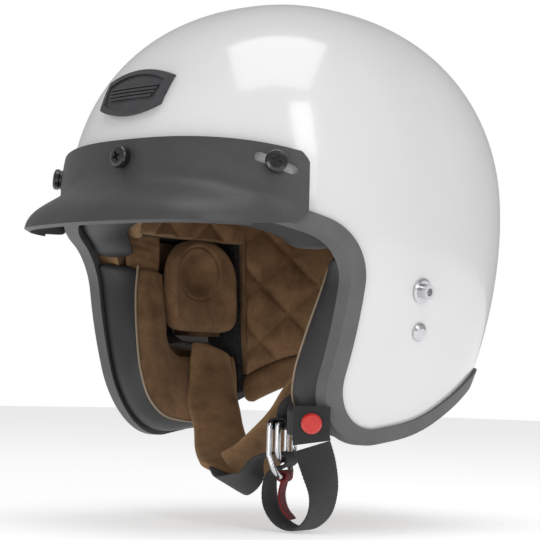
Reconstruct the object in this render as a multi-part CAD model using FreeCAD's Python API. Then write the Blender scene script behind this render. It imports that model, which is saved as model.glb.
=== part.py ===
"""Open face motorcycle helmet, in millimetres.

Frame: origin at the centre of the shell's widest level, +X the wearer's left,
-Y forward, +Z up.  Each sub-part is one node, written to parts/NODE.step.
"""
import FreeCAD, Part
import math
import os
from functools import lru_cache
from FreeCAD import Vector, Placement, Rotation

# ---- shell and padding ----------------------------------------------------
SHELL_HALF_WIDTH = 122.0
SHELL_HALF_LENGTH = 138.0
SHELL_CROWN = 132.6          # crown height above the widest level
PLAN_SQUARENESS = 2.35       # 2 is an ellipse, more is squarer
CROWN_SQUARENESS = 2.17
SHELL_NARROWING = 0.13       # share of the width lost 100 mm below the widest level
SHELL_WALL = 4.0
HEAD_HALF_WIDTH = 78.0       # head space inside the padding
HEAD_HALF_LENGTH = 98.0
HEAD_CROWN = 92.0
HEAD_NARROWING = 0.07
LINING_THICKNESS = 8.0
FLOOR = -190.0               # the head forms run down to here before they are cut
GAP = 0.3                    # clearance between curved pieces that lie together

# ---- edge of the shell in side view: (y, z, corner radius) ----------------
BROW_SLOPE = math.tan(math.radians(19))
JAW_FRONT = -63.5
EDGE_CORNERS = [
    (JAW_FRONT, -25.5, 33.0),
    (JAW_FRONT, -144.5, 38.5),
    (15.0, -132.4, 120.0),
    (80.0, -100.8, 100.0),
]
NAPE_END = (230.0, -88.0)

# ---- edge trim -------------------------------------------------------------
TRIM_LAP = 7.0               # how far the channel reaches over the shell
TRIM_PROUD = 2.5
TRIM_LEG = 1.8               # inner leg of the channel
TRIM_LIP = 2.5               # in front of the shell's edge
LEG_CLEARANCE = 0.1

# ---- cheeks, ears and neck --------------------------------------------------
FACING_THICKNESS = 5.0       # leatherette along the opening
CHEEK_SPLIT_Z = -30.0        # cheek pads below, brow pieces above
TEMPLE_LOW = (62.0, -100.0)  # x, z where the cheek strip starts to draw back
TEMPLE_HIGH = (88.0, -50.0)
THROAT_HIGH = (62.0, -108.0) # x, z where the lower inside edge starts to draw back
THROAT_LOW = (80.0, -140.0)
CHEEK_FOAM_THICKNESS = 16.0
CHEEK_STRIP_BACK = -24.0     # back of the strip in front of the ear
EAR_PAD_BACK = 36.0
EAR_PAD_TOP = -12.0
STRAP_SLOT_TOP = -74.5
STRAP_SLOT_HEIGHT = 10.0
PAD_SPACING = 2.5            # between neighbouring cushions
EAR_POCKET_CENTRE = (0.0, -35.0)
EAR_POCKET_RADIUS = 19.0
EAR_POCKET_DEPTH = 7.0
NECK_ROLL_HEIGHT = 20.0

# ---- peak --------------------------------------------------------------------
PEAK_CLEARANCE = 3.0         # between shell and peak band
PEAK_WALL = 2.2
PEAK_TOP_Z = 34.0
PEAK_TOP_DROP = 10.0         # the top edge is this much lower at the ends
PEAK_END_TOP_Z = 26.0           # height of the rounded upper corner at the ends
PEAK_VALLEY_Z = 15.0
PEAK_VALLEY_DROP = 24.0         # the valley is this much lower at the ends
PEAK_LIP_Z = -17.0
PEAK_LIP_REACH = 31.0        # how far the lip stands out at the middle
PEAK_END_ANGLE = 47.5        # plan angle of the ends from straight ahead
PEAK_FADE = 28.0             # degrees over which the lip dies away at the ends
PEAK_END_RADIUS = 17.0
PEAK_SLOT_LENGTH = 26.0
PEAK_SLOT_WIDTH = 6.0
PEAK_SLOT_SLOPE = -20.0      # degrees, lower at the back
SLOT_CUT_DEPTH = 20.0        # how far the screw openings are cut outward
PEAK_END_Y = -93.6           # back of both ends in side view
PEAK_BOTTOM_RADIUS = 13.0
FRONT_FIXING_HEIGHT = 22.8
SIDE_FIXING_HEIGHT = 17.5
FIXING_ANGLE = 39.5          # plan angle of the side fixings
SCREW_RADIUS = 2.5
SCREW_LENGTH = 15.0          # below the head
SCREW_HEAD_RADIUS = 6.5
SCREW_HEAD_HEIGHT = 3.6
RECESS_WIDTH = 1.5
RECESS_LENGTH = 6.0
RECESS_DEPTH = 1.8
BUSH_RADIUS = 6.0
BUSH_HEIGHT = 1.8
SPACER_RADIUS = 5.5
INSERT_RADIUS = 4.5
INSERT_LENGTH = 12.0
INSERT_FLANGE_RADIUS = 7.5
INSERT_FLANGE_HEIGHT = 1.2
SEAT_GAP = 0.5               # flat hardware against the curved shell
FIT_CLEARANCE = 0.15         # radial, screws and studs in their holes

# ---- badge -------------------------------------------------------------------
BADGE_CENTRE_X = -10.0
BADGE_BOTTOM_Z = 55.0
BADGE_HEIGHT = 18.0
BADGE_TOP_WIDTH = 56.0
BADGE_BOTTOM_WIDTH = 52.0
BADGE_BULGE = 5.5            # rise of the curved top and bottom edges
BADGE_THICKNESS = 3.0
BADGE_RIM = 3.0
BADGE_RIM_HEIGHT = 1.2

# ---- side studs and strap rivets ----------------------------------------------
STUD_PLACE = (-10.2, -49.1)  # y, z on the shell
STUD_FLANGE_RADIUS = 7.5
STUD_FLANGE_HEIGHT = 1.6
STUD_POST_RADIUS = 4.3
STUD_POST_LENGTH = 4.4
STUD_BORE_RADIUS = 2.3
STUD_TAIL_RADIUS = 3.0
RIVET_PLACE = (-6.5, -73.0)
RIVET_HEAD_RADIUS = 5.5
RIVET_HEAD_HEIGHT = 2.4
RIVET_SHANK_RADIUS = 2.4
RIVET_TAIL_RADIUS = 4.0         # closed head inside the webbing
RIVET_TAIL_HEIGHT = 0.9
ANCHOR_WIDTH = 16.0
ANCHOR_THICKNESS = 1.2

# ---- straps ----------------------------------------------------------------------
WEBBING_WIDTH = 22.0
WEBBING_THICKNESS = 1.6
COVER_WIDTH = 34.0
COVER_THICKNESS = 7.0
RING_WIRE = 1.75             # wire radius
RING_HALF_WIDTH = 15.5
RING_CORNER = 7.0
RING_CENTRE = (52.0, -56.0, -129.0)
RING_TURN = -66.0            # degrees, direction of the ring bars from +X
RING_SPACING = 5.0
OUTER_RING_DEPTH = 31.5      # bar to far side, centre to centre
INNER_RING_DEPTH = 21.0
RING_BEND = 20.0             # the outer ring is cranked towards the inner one
RING_BEND_DEPTH = 18.0       # this far below its bar
SNAP_RADIUS = 6.0
SNAP_CAP_HEIGHT = 2.2
SNAP_STUD_RADIUS = 2.4
SNAP_SHANK_RADIUS = 1.6
SNAP_PLACE = (82.4, -64.7, -128.0)
SNAP_TURN = -47.0            # plan direction that the snap faces
SNAP_FLANGE = 1.0            # thickness of the stud's and socket's flanges
TAB_WIDTH = 12.0
SNAP_STRAP_WIDTH = 14.0
TAIL_SPLIT = 2.0             # gap where the tail bends away when the snap is pulled

parts = {}


def plan_radius(angle, squareness):
    """Radius of the unit superellipse at a plan angle."""
    total = abs(math.cos(angle)) ** squareness + abs(math.sin(angle)) ** squareness
    return total ** (-1 / squareness)


def narrowed(z, narrowing):
    return 1 - narrowing * (z / 100) ** 2


def head_form(half_width, half_length, crown, narrowing, floor=FLOOR):
    """Solid domed form: superellipse plan, superellipse crown, sides that draw in below."""
    ring_points = []
    for step in range(32):
        angle = 2 * math.pi * step / 32
        radius = plan_radius(angle, PLAN_SQUARENESS)
        ring_points.append(Vector(half_width * radius * math.cos(angle),
                                  half_length * radius * math.sin(angle), 0))
    ring = Part.BSplineCurve()
    ring.interpolate(ring_points, PeriodicFlag=True)

    heights = [floor * (1 - step / 6) for step in range(6)]
    rise = [Vector(100 * narrowed(z, narrowing), z, 0) for z in heights]
    for step in range(11):
        angle = math.pi / 2 * step / 10
        radius = plan_radius(angle, CROWN_SQUARENESS)
        rise.append(Vector(100 * radius * math.cos(angle), crown * radius * math.sin(angle), 0))
    rise[-1].x = 0
    meridian = Part.BSplineCurve()
    meridian.interpolate(Points=rise, InitialTangent=(rise[1] - rise[0]).normalize(),
                         FinalTangent=Vector(-1, 0, 0))

    side = meridian.getPoles()
    poles = [[Vector(p.x * q.x / 100, p.y * q.x / 100, q.y) for q in side]
             for p in ring.getPoles()]
    for row in poles:
        row[-1] = Vector(0, 0, side[-1].y)
    skin = Part.BSplineSurface()
    skin.buildFromPolesMultsKnots(poles, ring.getMultiplicities(), meridian.getMultiplicities(),
                                  ring.getKnots(), meridian.getKnots(), True, False,
                                  ring.Degree, meridian.Degree)
    wall = skin.toShape()
    rims = [edge for edge in wall.Edges if not edge.Degenerated
            and all(abs(vertex.Z - floor) < 1e-3 for vertex in edge.Vertexes)]
    closed = Part.Shell([wall, Part.Face(Part.Wire([rims[0]]))])
    closed.sewShape()
    return Part.Solid(closed)


@lru_cache(maxsize=None)
def shell_layer(grow):
    return head_form(SHELL_HALF_WIDTH + grow, SHELL_HALF_LENGTH + grow, SHELL_CROWN + grow,
                     SHELL_NARROWING)


@lru_cache(maxsize=None)
def head_layer(grow):
    return head_form(HEAD_HALF_WIDTH + grow, HEAD_HALF_LENGTH + grow, HEAD_CROWN + grow,
                     HEAD_NARROWING)


def side_profile(inset):
    """Face in the YZ plane behind and above the shell's edge, moved in by inset."""
    front = -260.0
    top = 260.0
    first_y, first_z, _ = EDGE_CORNERS[0]
    start = (front, first_z + (first_y - front) * BROW_SLOPE)
    corners = [(start[0], start[1], 0)] + EDGE_CORNERS + [(NAPE_END[0], NAPE_END[1], 0),
                                                          (NAPE_END[0], top, 0), (front, top, 0)]
    face = Part.Face(rounded_outline(corners))
    return face.makeOffset2D(-inset) if inset else face


def rounded_outline(corners):
    """Closed wire in the YZ plane through (y, z, radius) corners."""
    edges = []
    count = len(corners)
    arrive = []
    leave = []
    for index, (y, z, radius) in enumerate(corners):
        here = Vector(0, y, z)
        before = Vector(0, *corners[index - 1][:2]) - here
        after = Vector(0, *corners[(index + 1) % count][:2]) - here
        before.normalize()
        after.normalize()
        if radius <= 0:
            arrive.append(here)
            leave.append(here)
            edges.append(None)
            continue
        half = before.getAngle(after) / 2
        reach = radius / math.tan(half)
        middle = (before + after).normalize() * (radius / math.sin(half) - radius)
        arrive.append(here + before * reach)
        leave.append(here + after * reach)
        edges.append(Part.Arc(arrive[-1], here + middle, leave[-1]).toShape())
    outline = []
    for index in range(count):
        if edges[index]:
            outline.append(edges[index])
        target = arrive[(index + 1) % count]
        if (leave[index] - target).Length > 1e-6:
            outline.append(Part.LineSegment(leave[index], target).toShape())
    return Part.Wire(outline)


def across(face, half=200.0):
    """Extrude a YZ face both ways along X."""
    solid = face.extrude(Vector(2 * half, 0, 0))
    solid.translate(Vector(-half, 0, 0))
    return solid


@lru_cache(maxsize=None)
def kept(inset):
    return across(side_profile(inset))


def edge_band(inner, outer):
    """What lies between two insets of the shell's edge, right across."""
    return kept(inner).cut(kept(outer))


def block(low, high):
    size = [b - a for a, b in zip(low, high)]
    return Part.makeBox(*size, Vector(*low))


def mirrored(shape):
    return shape.mirror(Vector(0, 0, 0), Vector(1, 0, 0))


def pair(name, left):
    parts[name + "_left"] = left
    parts[name + "_right"] = mirrored(left)


def side_point(y, z, grow=0.0):
    """Point on the left side of a shell layer, and the layer's outward normal there."""
    def level(p):
        plan = (abs(p.x / (SHELL_HALF_WIDTH + grow)) ** PLAN_SQUARENESS
                + abs(p.y / (SHELL_HALF_LENGTH + grow)) ** PLAN_SQUARENESS)
        flat = plan ** (1 / PLAN_SQUARENESS)
        if p.z <= 0:
            return flat / narrowed(p.z, SHELL_NARROWING)
        return (flat ** CROWN_SQUARENESS
                + (p.z / (SHELL_CROWN + grow)) ** CROWN_SQUARENESS) ** (1 / CROWN_SQUARENESS)
    low, high = 0.0, SHELL_HALF_WIDTH + grow
    for _ in range(50):
        middle = (low + high) / 2
        if level(Vector(middle, y, z)) < 1:
            low = middle
        else:
            high = middle
    point = Vector(low, y, z)
    step = 0.01
    slope = [level(point + d * step) - level(point - d * step)
             for d in (Vector(1, 0, 0), Vector(0, 1, 0), Vector(0, 0, 1))]
    return point, Vector(*slope).normalize()


def shell_radius(angle, z, grow=0.0):
    """Plan radius of a shell layer at an angle from straight ahead and a height."""
    x, y = math.sin(angle), math.cos(angle)
    plan = ((abs(x) / (SHELL_HALF_WIDTH + grow)) ** PLAN_SQUARENESS
            + (abs(y) / (SHELL_HALF_LENGTH + grow)) ** PLAN_SQUARENESS)
    full = plan ** (-1 / PLAN_SQUARENESS)
    if z <= 0:
        return full * narrowed(z, SHELL_NARROWING)
    crown = SHELL_CROWN + grow
    return full * (1 - (z / crown) ** CROWN_SQUARENESS) ** (1 / CROWN_SQUARENESS)


def plan_point(angle, radius, z):
    return Vector(radius * math.sin(angle), -radius * math.cos(angle), z)


def turned(outline, place, axis):
    """Solid of revolution: (radius, height) points, height along axis from place."""
    points = [Vector(r, 0, h) for r, h in outline]
    face = Part.Face(Part.makePolygon(points + [points[0]]))
    solid = face.revolve(Vector(0, 0, 0), Vector(0, 0, 1), 360)
    solid.Placement = Placement(place, Rotation(Vector(0, 0, 1), axis))
    return solid


def rod(radius, length, place, axis):
    return Part.makeCylinder(radius, length, place, axis)


def ribbon(stations, width, thickness, rounded=False):
    """Flat strap lofted through (centre, width direction) stations."""
    wires = []
    centres = [Vector(*centre) for centre, _ in stations]
    for index, (_, across_strap) in enumerate(stations):
        before = centres[max(index - 1, 0)]
        after = centres[min(index + 1, len(centres) - 1)]
        run = (after - before).normalize()
        side = Vector(*across_strap)
        side = (side - run * side.dot(run)).normalize()
        face = run.cross(side)
        centre = centres[index]
        flat = width / 2 - (thickness / 2 if rounded else 0)
        a = centre - side * flat + face * (thickness / 2)
        b = centre + side * flat + face * (thickness / 2)
        c = centre + side * flat - face * (thickness / 2)
        d = centre - side * flat - face * (thickness / 2)
        if rounded:
            right = Part.Arc(b, centre + side * (width / 2), c).toShape()
            left = Part.Arc(d, centre - side * (width / 2), a).toShape()
        else:
            right = Part.LineSegment(b, c).toShape()
            left = Part.LineSegment(d, a).toShape()
        wires.append(Part.Wire([Part.LineSegment(a, b).toShape(), right,
                                Part.LineSegment(c, d).toShape(), left]))
    return Part.makeLoft(wires, True, True)


# ---- helmet body ----------------------------------------------------------------

def build_body():
    wall = shell_layer(0).cut(shell_layer(-SHELL_WALL)).common(kept(0))
    drillings = []
    for angle, place, axis in fixings():
        drillings.append(rod(INSERT_RADIUS + FIT_CLEARANCE, 40, place - axis * 20, axis))
    for side in (1, -1):
        for spot, radius in ((STUD_PLACE, STUD_TAIL_RADIUS), (RIVET_PLACE, RIVET_SHANK_RADIUS)):
            point, normal = side_point(*spot)
            point.x *= side
            normal.x *= side
            drillings.append(rod(radius + FIT_CLEARANCE, 30, point - normal * 15, normal))
    parts["outer_shell"] = wall.cut(drillings)

    channel = edge_band(-TRIM_LIP, TRIM_LAP)
    depth = -SHELL_WALL - LEG_CLEARANCE - TRIM_LEG
    section = shell_layer(TRIM_PROUD).cut(shell_layer(depth)).common(channel)
    slot = shell_layer(LEG_CLEARANCE).cut(shell_layer(-SHELL_WALL - LEG_CLEARANCE))
    parts["edge_trim"] = section.cut(slot.common(kept(-LEG_CLEARANCE)))

    foam = shell_layer(-SHELL_WALL - GAP).cut(head_layer(LINING_THICKNESS))
    foam = foam.common(kept(TRIM_LAP + 1))
    cheeks = block((-200, -200, FLOOR), (200, EAR_PAD_BACK + PAD_SPACING, EAR_PAD_TOP))
    for _, place, axis in fixings():
        depth = INSERT_LENGTH + 2
        foam = foam.cut(rod(INSERT_FLANGE_RADIUS + 1, depth, place - axis * depth, axis))
    parts["impact_liner"] = foam.cut(cheeks)

    lining = head_layer(LINING_THICKNESS - GAP).cut(head_layer(0)).common(kept(TRIM_LAP + 6))
    neck = edge_band(-TRIM_LIP, NECK_ROLL_HEIGHT).common(
        block((-200, EAR_PAD_BACK + PAD_SPACING, -200), (200, 200, 0)))
    parts["crown_lining"] = lining.cut(cheeks).cut(neck)
    roll = head_layer(LINING_THICKNESS - GAP).cut(head_layer(-2))
    lower = block((-200, EAR_PAD_BACK + PAD_SPACING, -200), (200, 200, 0))
    parts["neck_roll"] = roll.common(edge_band(1, NECK_ROLL_HEIGHT - PAD_SPACING)).common(lower)


def build_brow():
    above = block((-200, -200, CHEEK_SPLIT_Z + PAD_SPACING), (200, 0, 200))
    space = shell_layer(-SHELL_WALL - 2 * TRIM_LEG).cut(head_layer(LINING_THICKNESS))
    parts["brow_band"] = space.common(edge_band(0.5, TRIM_LAP)).common(above)


def build_cheeks():
    half = block((40, -200, FLOOR), (200, EAR_PAD_BACK, CHEEK_SPLIT_Z))
    full = block((40, -200, FLOOR), (200, EAR_PAD_BACK, EAR_PAD_TOP - PAD_SPACING))
    outer = shell_layer(-SHELL_WALL - 2 * TRIM_LEG)
    low_x, low_z = TEMPLE_LOW
    slope = (TEMPLE_HIGH[0] - low_x) / (TEMPLE_HIGH[1] - low_z)
    high_x = low_x - low_z * slope
    corners = [(0, low_z), (low_x, low_z), (high_x, 0), (0, 0)]
    temple = Part.Face(Part.makePolygon([Vector(x, -200, z) for x, z in corners + corners[:1]]))
    temple = temple.extrude(Vector(0, 200 + CHEEK_STRIP_BACK, 0))
    drop_x, drop_z = THROAT_LOW
    corners = [(0, drop_z), (drop_x, drop_z), THROAT_HIGH, (0, THROAT_HIGH[1])]
    throat = Part.Face(Part.makePolygon([Vector(x, -200, z) for x, z in corners + corners[:1]]))
    relief = [temple, throat.extrude(Vector(0, 400, 0))]
    facing = outer.cut(head_layer(0)).common(edge_band(0.5, FACING_THICKNESS)).common(half)
    facing = facing.cut(relief)
    pair("cheek_facing", facing)

    foam_face = shell_layer(-SHELL_WALL - CHEEK_FOAM_THICKNESS)
    inside = kept(TRIM_LAP + 1)
    slot_low = STRAP_SLOT_TOP - STRAP_SLOT_HEIGHT
    slot = block((0, CHEEK_STRIP_BACK, slot_low), (200, EAR_PAD_BACK + 1, STRAP_SLOT_TOP))
    foam = shell_layer(-SHELL_WALL - GAP).cut(foam_face).common(inside).common(full)
    pocket = block((80, RIVET_PLACE[0] - ANCHOR_WIDTH, slot_low),
                   (200, RIVET_PLACE[0] + ANCHOR_WIDTH, STUD_PLACE[1] + ANCHOR_WIDTH))
    pair("cheek_foam", foam.cut([slot, pocket]))

    cushion = shell_layer(-SHELL_WALL - CHEEK_FOAM_THICKNESS - GAP).cut(head_layer(0))
    cushion = cushion.common(kept(FACING_THICKNESS + GAP))
    ear_front = CHEEK_STRIP_BACK + PAD_SPACING
    ear_space = block((0, CHEEK_STRIP_BACK, slot_low), (200, EAR_PAD_BACK + 1, 0))
    pair("cheek_pad", cushion.common(half).cut(ear_space).cut(relief))

    ear = cushion.common(block((40, ear_front, STRAP_SLOT_TOP),
                               (200, EAR_PAD_BACK, EAR_PAD_TOP - PAD_SPACING)))
    y, z = EAR_POCKET_CENTRE
    reach = (EAR_POCKET_RADIUS ** 2 + EAR_POCKET_DEPTH ** 2) / (2 * EAR_POCKET_DEPTH)
    inner_face = HEAD_HALF_WIDTH * narrowed(z, HEAD_NARROWING)
    pocket = Part.makeSphere(reach, Vector(inner_face + EAR_POCKET_DEPTH - reach, y, z))
    pair("ear_pad", ear.cut(pocket))


# ---- peak -------------------------------------------------------------------------

def fixings():
    """Plan angle, seat on the shell and outward axis of the three peak fixings."""
    result = []
    for angle in (-FIXING_ANGLE, 0, FIXING_ANGLE):
        turn = math.radians(angle)
        height = SIDE_FIXING_HEIGHT if angle else FRONT_FIXING_HEIGHT
        place = plan_point(turn, shell_radius(turn, height), height)
        _, normal = side_point(place.y, place.z) if angle else (None, Vector(0, -1, 0.05))
        axis = Vector(normal.x * (1 if angle >= 0 else -1), normal.y, normal.z)
        result.append((turn, place, axis.normalize()))
    return result


def peak_section(angle):
    """Closed section of the peak in the radial plane at a plan angle."""
    share = abs(angle) / math.radians(PEAK_END_ANGLE)
    left = math.radians(PEAK_END_ANGLE) - abs(angle)
    fade = min(1.0, left / math.radians(PEAK_FADE))
    fade = fade * fade * (3 - 2 * fade)
    top = PEAK_TOP_Z - PEAK_TOP_DROP * share ** 3
    valley = PEAK_VALLEY_Z - PEAK_VALLEY_DROP * share ** 2
    reach = PEAK_LIP_REACH * (1 - 0.15 * share) * fade
    outline = [
        (top, PEAK_CLEARANCE + PEAK_WALL, 0),
        ((2 * top + valley) / 3, PEAK_CLEARANCE + PEAK_WALL, 0),
        ((top + 2 * valley) / 3, PEAK_CLEARANCE + PEAK_WALL, 0),
        (valley, PEAK_CLEARANCE + PEAK_WALL, 0.04 * reach),
        (valley + (PEAK_LIP_Z - valley) * 0.36, PEAK_CLEARANCE + PEAK_WALL, 0.42 * reach),
        (PEAK_LIP_Z, PEAK_CLEARANCE + PEAK_WALL, reach),
    ]
    front = [plan_point(angle, shell_radius(angle, z, grow) + out, z) for z, grow, out in outline]
    back = []
    for z, grow, out in outline:
        lift = 0.7 if out > 0.3 * reach and reach > 1 else 0.0
        back.append(plan_point(angle, shell_radius(angle, z, grow - PEAK_WALL) + out * 0.97,
                               z - lift * PEAK_WALL))
    outer = Part.BSplineCurve()
    outer.interpolate(front)
    inner = Part.BSplineCurve()
    inner.interpolate(list(reversed(back)))
    return Part.Wire([outer.toShape(), Part.LineSegment(front[-1], back[-1]).toShape(),
                      inner.toShape(), Part.LineSegment(back[0], front[0]).toShape()])


def build_peak():
    end = math.radians(PEAK_END_ANGLE)
    shares = [-1, -0.93, -0.85, -0.72, -0.5, -0.25, 0, 0.25, 0.5, 0.72, 0.85, 0.93, 1]
    peak = Part.makeLoft([peak_section(end * share) for share in shares], True, False)
    outline = [(-260, PEAK_TOP_Z + 4, 0), (-128, PEAK_TOP_Z + 4, 0),
               (PEAK_END_Y, PEAK_END_TOP_Z, PEAK_END_RADIUS),
               (PEAK_END_Y, PEAK_LIP_Z + 2, PEAK_BOTTOM_RADIUS), (-125, PEAK_LIP_Z, 0),
               (-125, PEAK_LIP_Z - 20, 0), (-260, PEAK_LIP_Z - 20, 0)]
    peak = peak.common(across(Part.Face(rounded_outline(outline))))
    for turn, place, axis in fixings():
        if turn:
            side = math.copysign(1, turn)
            back = Vector(0, 0, 1).cross(axis).normalize() * side
            along = Rotation(axis, PEAK_SLOT_SLOPE * side).multVec(back)
            half = (PEAK_SLOT_LENGTH - PEAK_SLOT_WIDTH) / 2
            rear, front = place - along * half, place + along * half
            edge = along.cross(axis).normalize() * (PEAK_SLOT_WIDTH / 2)
            bow = along * (PEAK_SLOT_WIDTH / 2)
            curves = [Part.LineSegment(rear - edge, front - edge),
                      Part.Arc(front - edge, front + bow, front + edge),
                      Part.LineSegment(front + edge, rear + edge),
                      Part.Arc(rear + edge, rear - bow, rear - edge)]
            opening = Part.Face(Part.Wire([curve.toShape() for curve in curves]))
            peak = peak.cut(opening.extrude(axis * SLOT_CUT_DEPTH))
        else:
            peak = peak.cut(rod(SCREW_RADIUS + 0.5, SLOT_CUT_DEPTH, place, axis))
            seat = place + axis * (PEAK_CLEARANCE + PEAK_WALL)
            peak = peak.cut(rod(BUSH_RADIUS + FIT_CLEARANCE, SLOT_CUT_DEPTH, seat, axis))
    parts["peak"] = peak


def build_fixings():
    """Screws, bushes, spacers and flanged threaded inserts of the peak."""
    screws, bushes, spacers, inserts = [], [], [], []
    bush_foot = PEAK_CLEARANCE + PEAK_WALL + SEAT_GAP
    head_foot = bush_foot + BUSH_HEIGHT
    head_top = head_foot + SCREW_HEAD_HEIGHT
    bore = SCREW_RADIUS + FIT_CLEARANCE
    flange_top = -SHELL_WALL - 2 * SEAT_GAP
    for _, place, axis in fixings():
        shank = [(0, head_foot - SCREW_LENGTH), (SCREW_RADIUS, head_foot - SCREW_LENGTH)]
        head = [(SCREW_RADIUS, head_foot), (SCREW_HEAD_RADIUS, head_foot),
                (SCREW_HEAD_RADIUS, head_top - 1.5), (SCREW_HEAD_RADIUS - 0.6, head_top - 0.6),
                (SCREW_HEAD_RADIUS - 2.2, head_top), (0, head_top)]
        screw = turned(shank + head, place, axis)
        for turn in (20, 110):
            cross = Part.makeBox(RECESS_LENGTH, RECESS_WIDTH, RECESS_DEPTH + 1,
                                 Vector(-RECESS_LENGTH / 2, -RECESS_WIDTH / 2,
                                        head_top - RECESS_DEPTH))
            cross.rotate(Vector(0, 0, 0), Vector(0, 0, 1), turn)
            cross.Placement = Placement(place, Rotation(Vector(0, 0, 1), axis)) * cross.Placement
            screw = screw.cut(cross)
        screws.append(screw)
        bushes.append(turned([(bore, bush_foot), (BUSH_RADIUS, bush_foot),
                              (BUSH_RADIUS, bush_foot + BUSH_HEIGHT * 0.6),
                              (BUSH_RADIUS - 1, head_foot), (bore, head_foot)], place, axis))
        spacers.append(turned([(bore, SEAT_GAP), (SPACER_RADIUS, SEAT_GAP),
                               (SPACER_RADIUS, PEAK_CLEARANCE - SEAT_GAP),
                               (bore, PEAK_CLEARANCE - SEAT_GAP)], place, axis))
        inserts.append(turned([(bore, -INSERT_LENGTH), (INSERT_RADIUS, -INSERT_LENGTH),
                               (INSERT_RADIUS, flange_top - INSERT_FLANGE_HEIGHT),
                               (INSERT_FLANGE_RADIUS, flange_top - INSERT_FLANGE_HEIGHT),
                               (INSERT_FLANGE_RADIUS, flange_top), (INSERT_RADIUS, flange_top),
                               (INSERT_RADIUS, -0.2), (bore, -0.2)], place, axis))
    parts["peak_screws"] = Part.Compound(screws)
    parts["peak_bushes"] = Part.Compound(bushes)
    parts["peak_spacers"] = Part.Compound(spacers)
    parts["peak_inserts"] = Part.Compound(inserts)


# ---- badge ---------------------------------------------------------------------------

def badge_prism(inset):
    """Badge outline in front view, pushed forward through the shell's brow."""
    low = BADGE_BOTTOM_Z + inset
    high = BADGE_BOTTOM_Z + BADGE_HEIGHT - inset
    wide = BADGE_TOP_WIDTH / 2 - inset
    narrow = BADGE_BOTTOM_WIDTH / 2 - inset
    y = -60.0

    def at(x, z):
        return Vector(BADGE_CENTRE_X + x, y, z)
    edges = [Part.Arc(at(-wide, high), at(0, high + BADGE_BULGE), at(wide, high)).toShape(),
             Part.LineSegment(at(wide, high), at(narrow, low)).toShape(),
             Part.Arc(at(narrow, low), at(0, low - BADGE_BULGE), at(-narrow, low)).toShape(),
             Part.LineSegment(at(-narrow, low), at(-wide, high)).toShape()]
    return Part.Face(Part.Wire(edges)).extrude(Vector(0, -110, 0))


def build_badge():
    foot = shell_layer(GAP)
    plate = shell_layer(BADGE_THICKNESS).cut(foot).common(badge_prism(0))
    raised = shell_layer(BADGE_THICKNESS + BADGE_RIM_HEIGHT).cut(foot)
    rim = raised.common(badge_prism(0).cut(badge_prism(BADGE_RIM)))
    badge = plate.fuse(rim)
    inside = badge_prism(2 * BADGE_RIM)
    rows = 4
    pitch = (BADGE_HEIGHT - 3 * BADGE_RIM) / rows
    for row in range(rows):
        centre = BADGE_BOTTOM_Z + 1.5 * BADGE_RIM + pitch * (row + 0.5)
        bar = block((-60, -160, centre - pitch * 0.28), (60, -60, centre + pitch * 0.28))
        badge = badge.fuse(raised.common(bar).common(inside))
    parts["badge"] = badge.removeSplitter()


# ---- side studs and strap rivets --------------------------------------------------------

def build_side_hardware():
    place, axis = side_point(*STUD_PLACE)
    foot = 0.25
    step = foot + STUD_FLANGE_HEIGHT
    top = step + STUD_POST_LENGTH
    tail = -SHELL_WALL - 2.2
    stud = turned([(0, tail), (STUD_TAIL_RADIUS, tail), (STUD_TAIL_RADIUS, foot),
                   (STUD_FLANGE_RADIUS, foot), (STUD_FLANGE_RADIUS, foot + 0.7),
                   (STUD_FLANGE_RADIUS - 1.2, step), (STUD_POST_RADIUS, step),
                   (STUD_POST_RADIUS, top), (STUD_BORE_RADIUS, top),
                   (STUD_BORE_RADIUS, top - 3.6), (0, top - 3.6)], place, axis)
    pair("goggle_stud", stud)
    under = -SHELL_WALL - 2 * GAP
    washer = turned([(STUD_TAIL_RADIUS + FIT_CLEARANCE, under - 1),
                     (STUD_FLANGE_RADIUS, under - 1), (STUD_FLANGE_RADIUS, under),
                     (STUD_TAIL_RADIUS + FIT_CLEARANCE, under)], place, axis)
    parts["stud_washers"] = Part.Compound([washer, mirrored(washer)])

    place, axis = side_point(*RIVET_PLACE)
    top = foot + RIVET_HEAD_HEIGHT
    plate_foot = -SHELL_WALL - 2 * GAP - ANCHOR_THICKNESS
    end = plate_foot - WEBBING_THICKNESS - 2.4
    closed = end + RIVET_TAIL_HEIGHT
    rivet = turned([(0, end), (RIVET_TAIL_RADIUS, end),
                    (RIVET_TAIL_RADIUS, closed), (RIVET_SHANK_RADIUS, closed),
                    (RIVET_SHANK_RADIUS, foot), (RIVET_HEAD_RADIUS, foot),
                    (RIVET_HEAD_RADIUS, foot + 0.8), (RIVET_HEAD_RADIUS - 1, top - 0.5),
                    (RIVET_HEAD_RADIUS - 3, top), (0, top)], place, axis)
    pair("strap_rivet", rivet)
    plate = rod(ANCHOR_WIDTH / 2, ANCHOR_THICKNESS, place + axis * plate_foot, axis)
    hole = rod(RIVET_SHANK_RADIUS + FIT_CLEARANCE, 40, place - axis * 20, axis)
    plate = plate.cut(hole)
    parts["anchor_plates"] = Part.Compound([plate, mirrored(plate)])
    dent = 5                        # webbing under the closed head is pressed aside
    pressed = rod(RIVET_TAIL_RADIUS + FIT_CLEARANCE, dent,
                  place + axis * (closed + SEAT_GAP - dent), axis)
    return place, axis, plate_foot, hole.fuse(pressed)


# ---- straps -----------------------------------------------------------------------------

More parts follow.
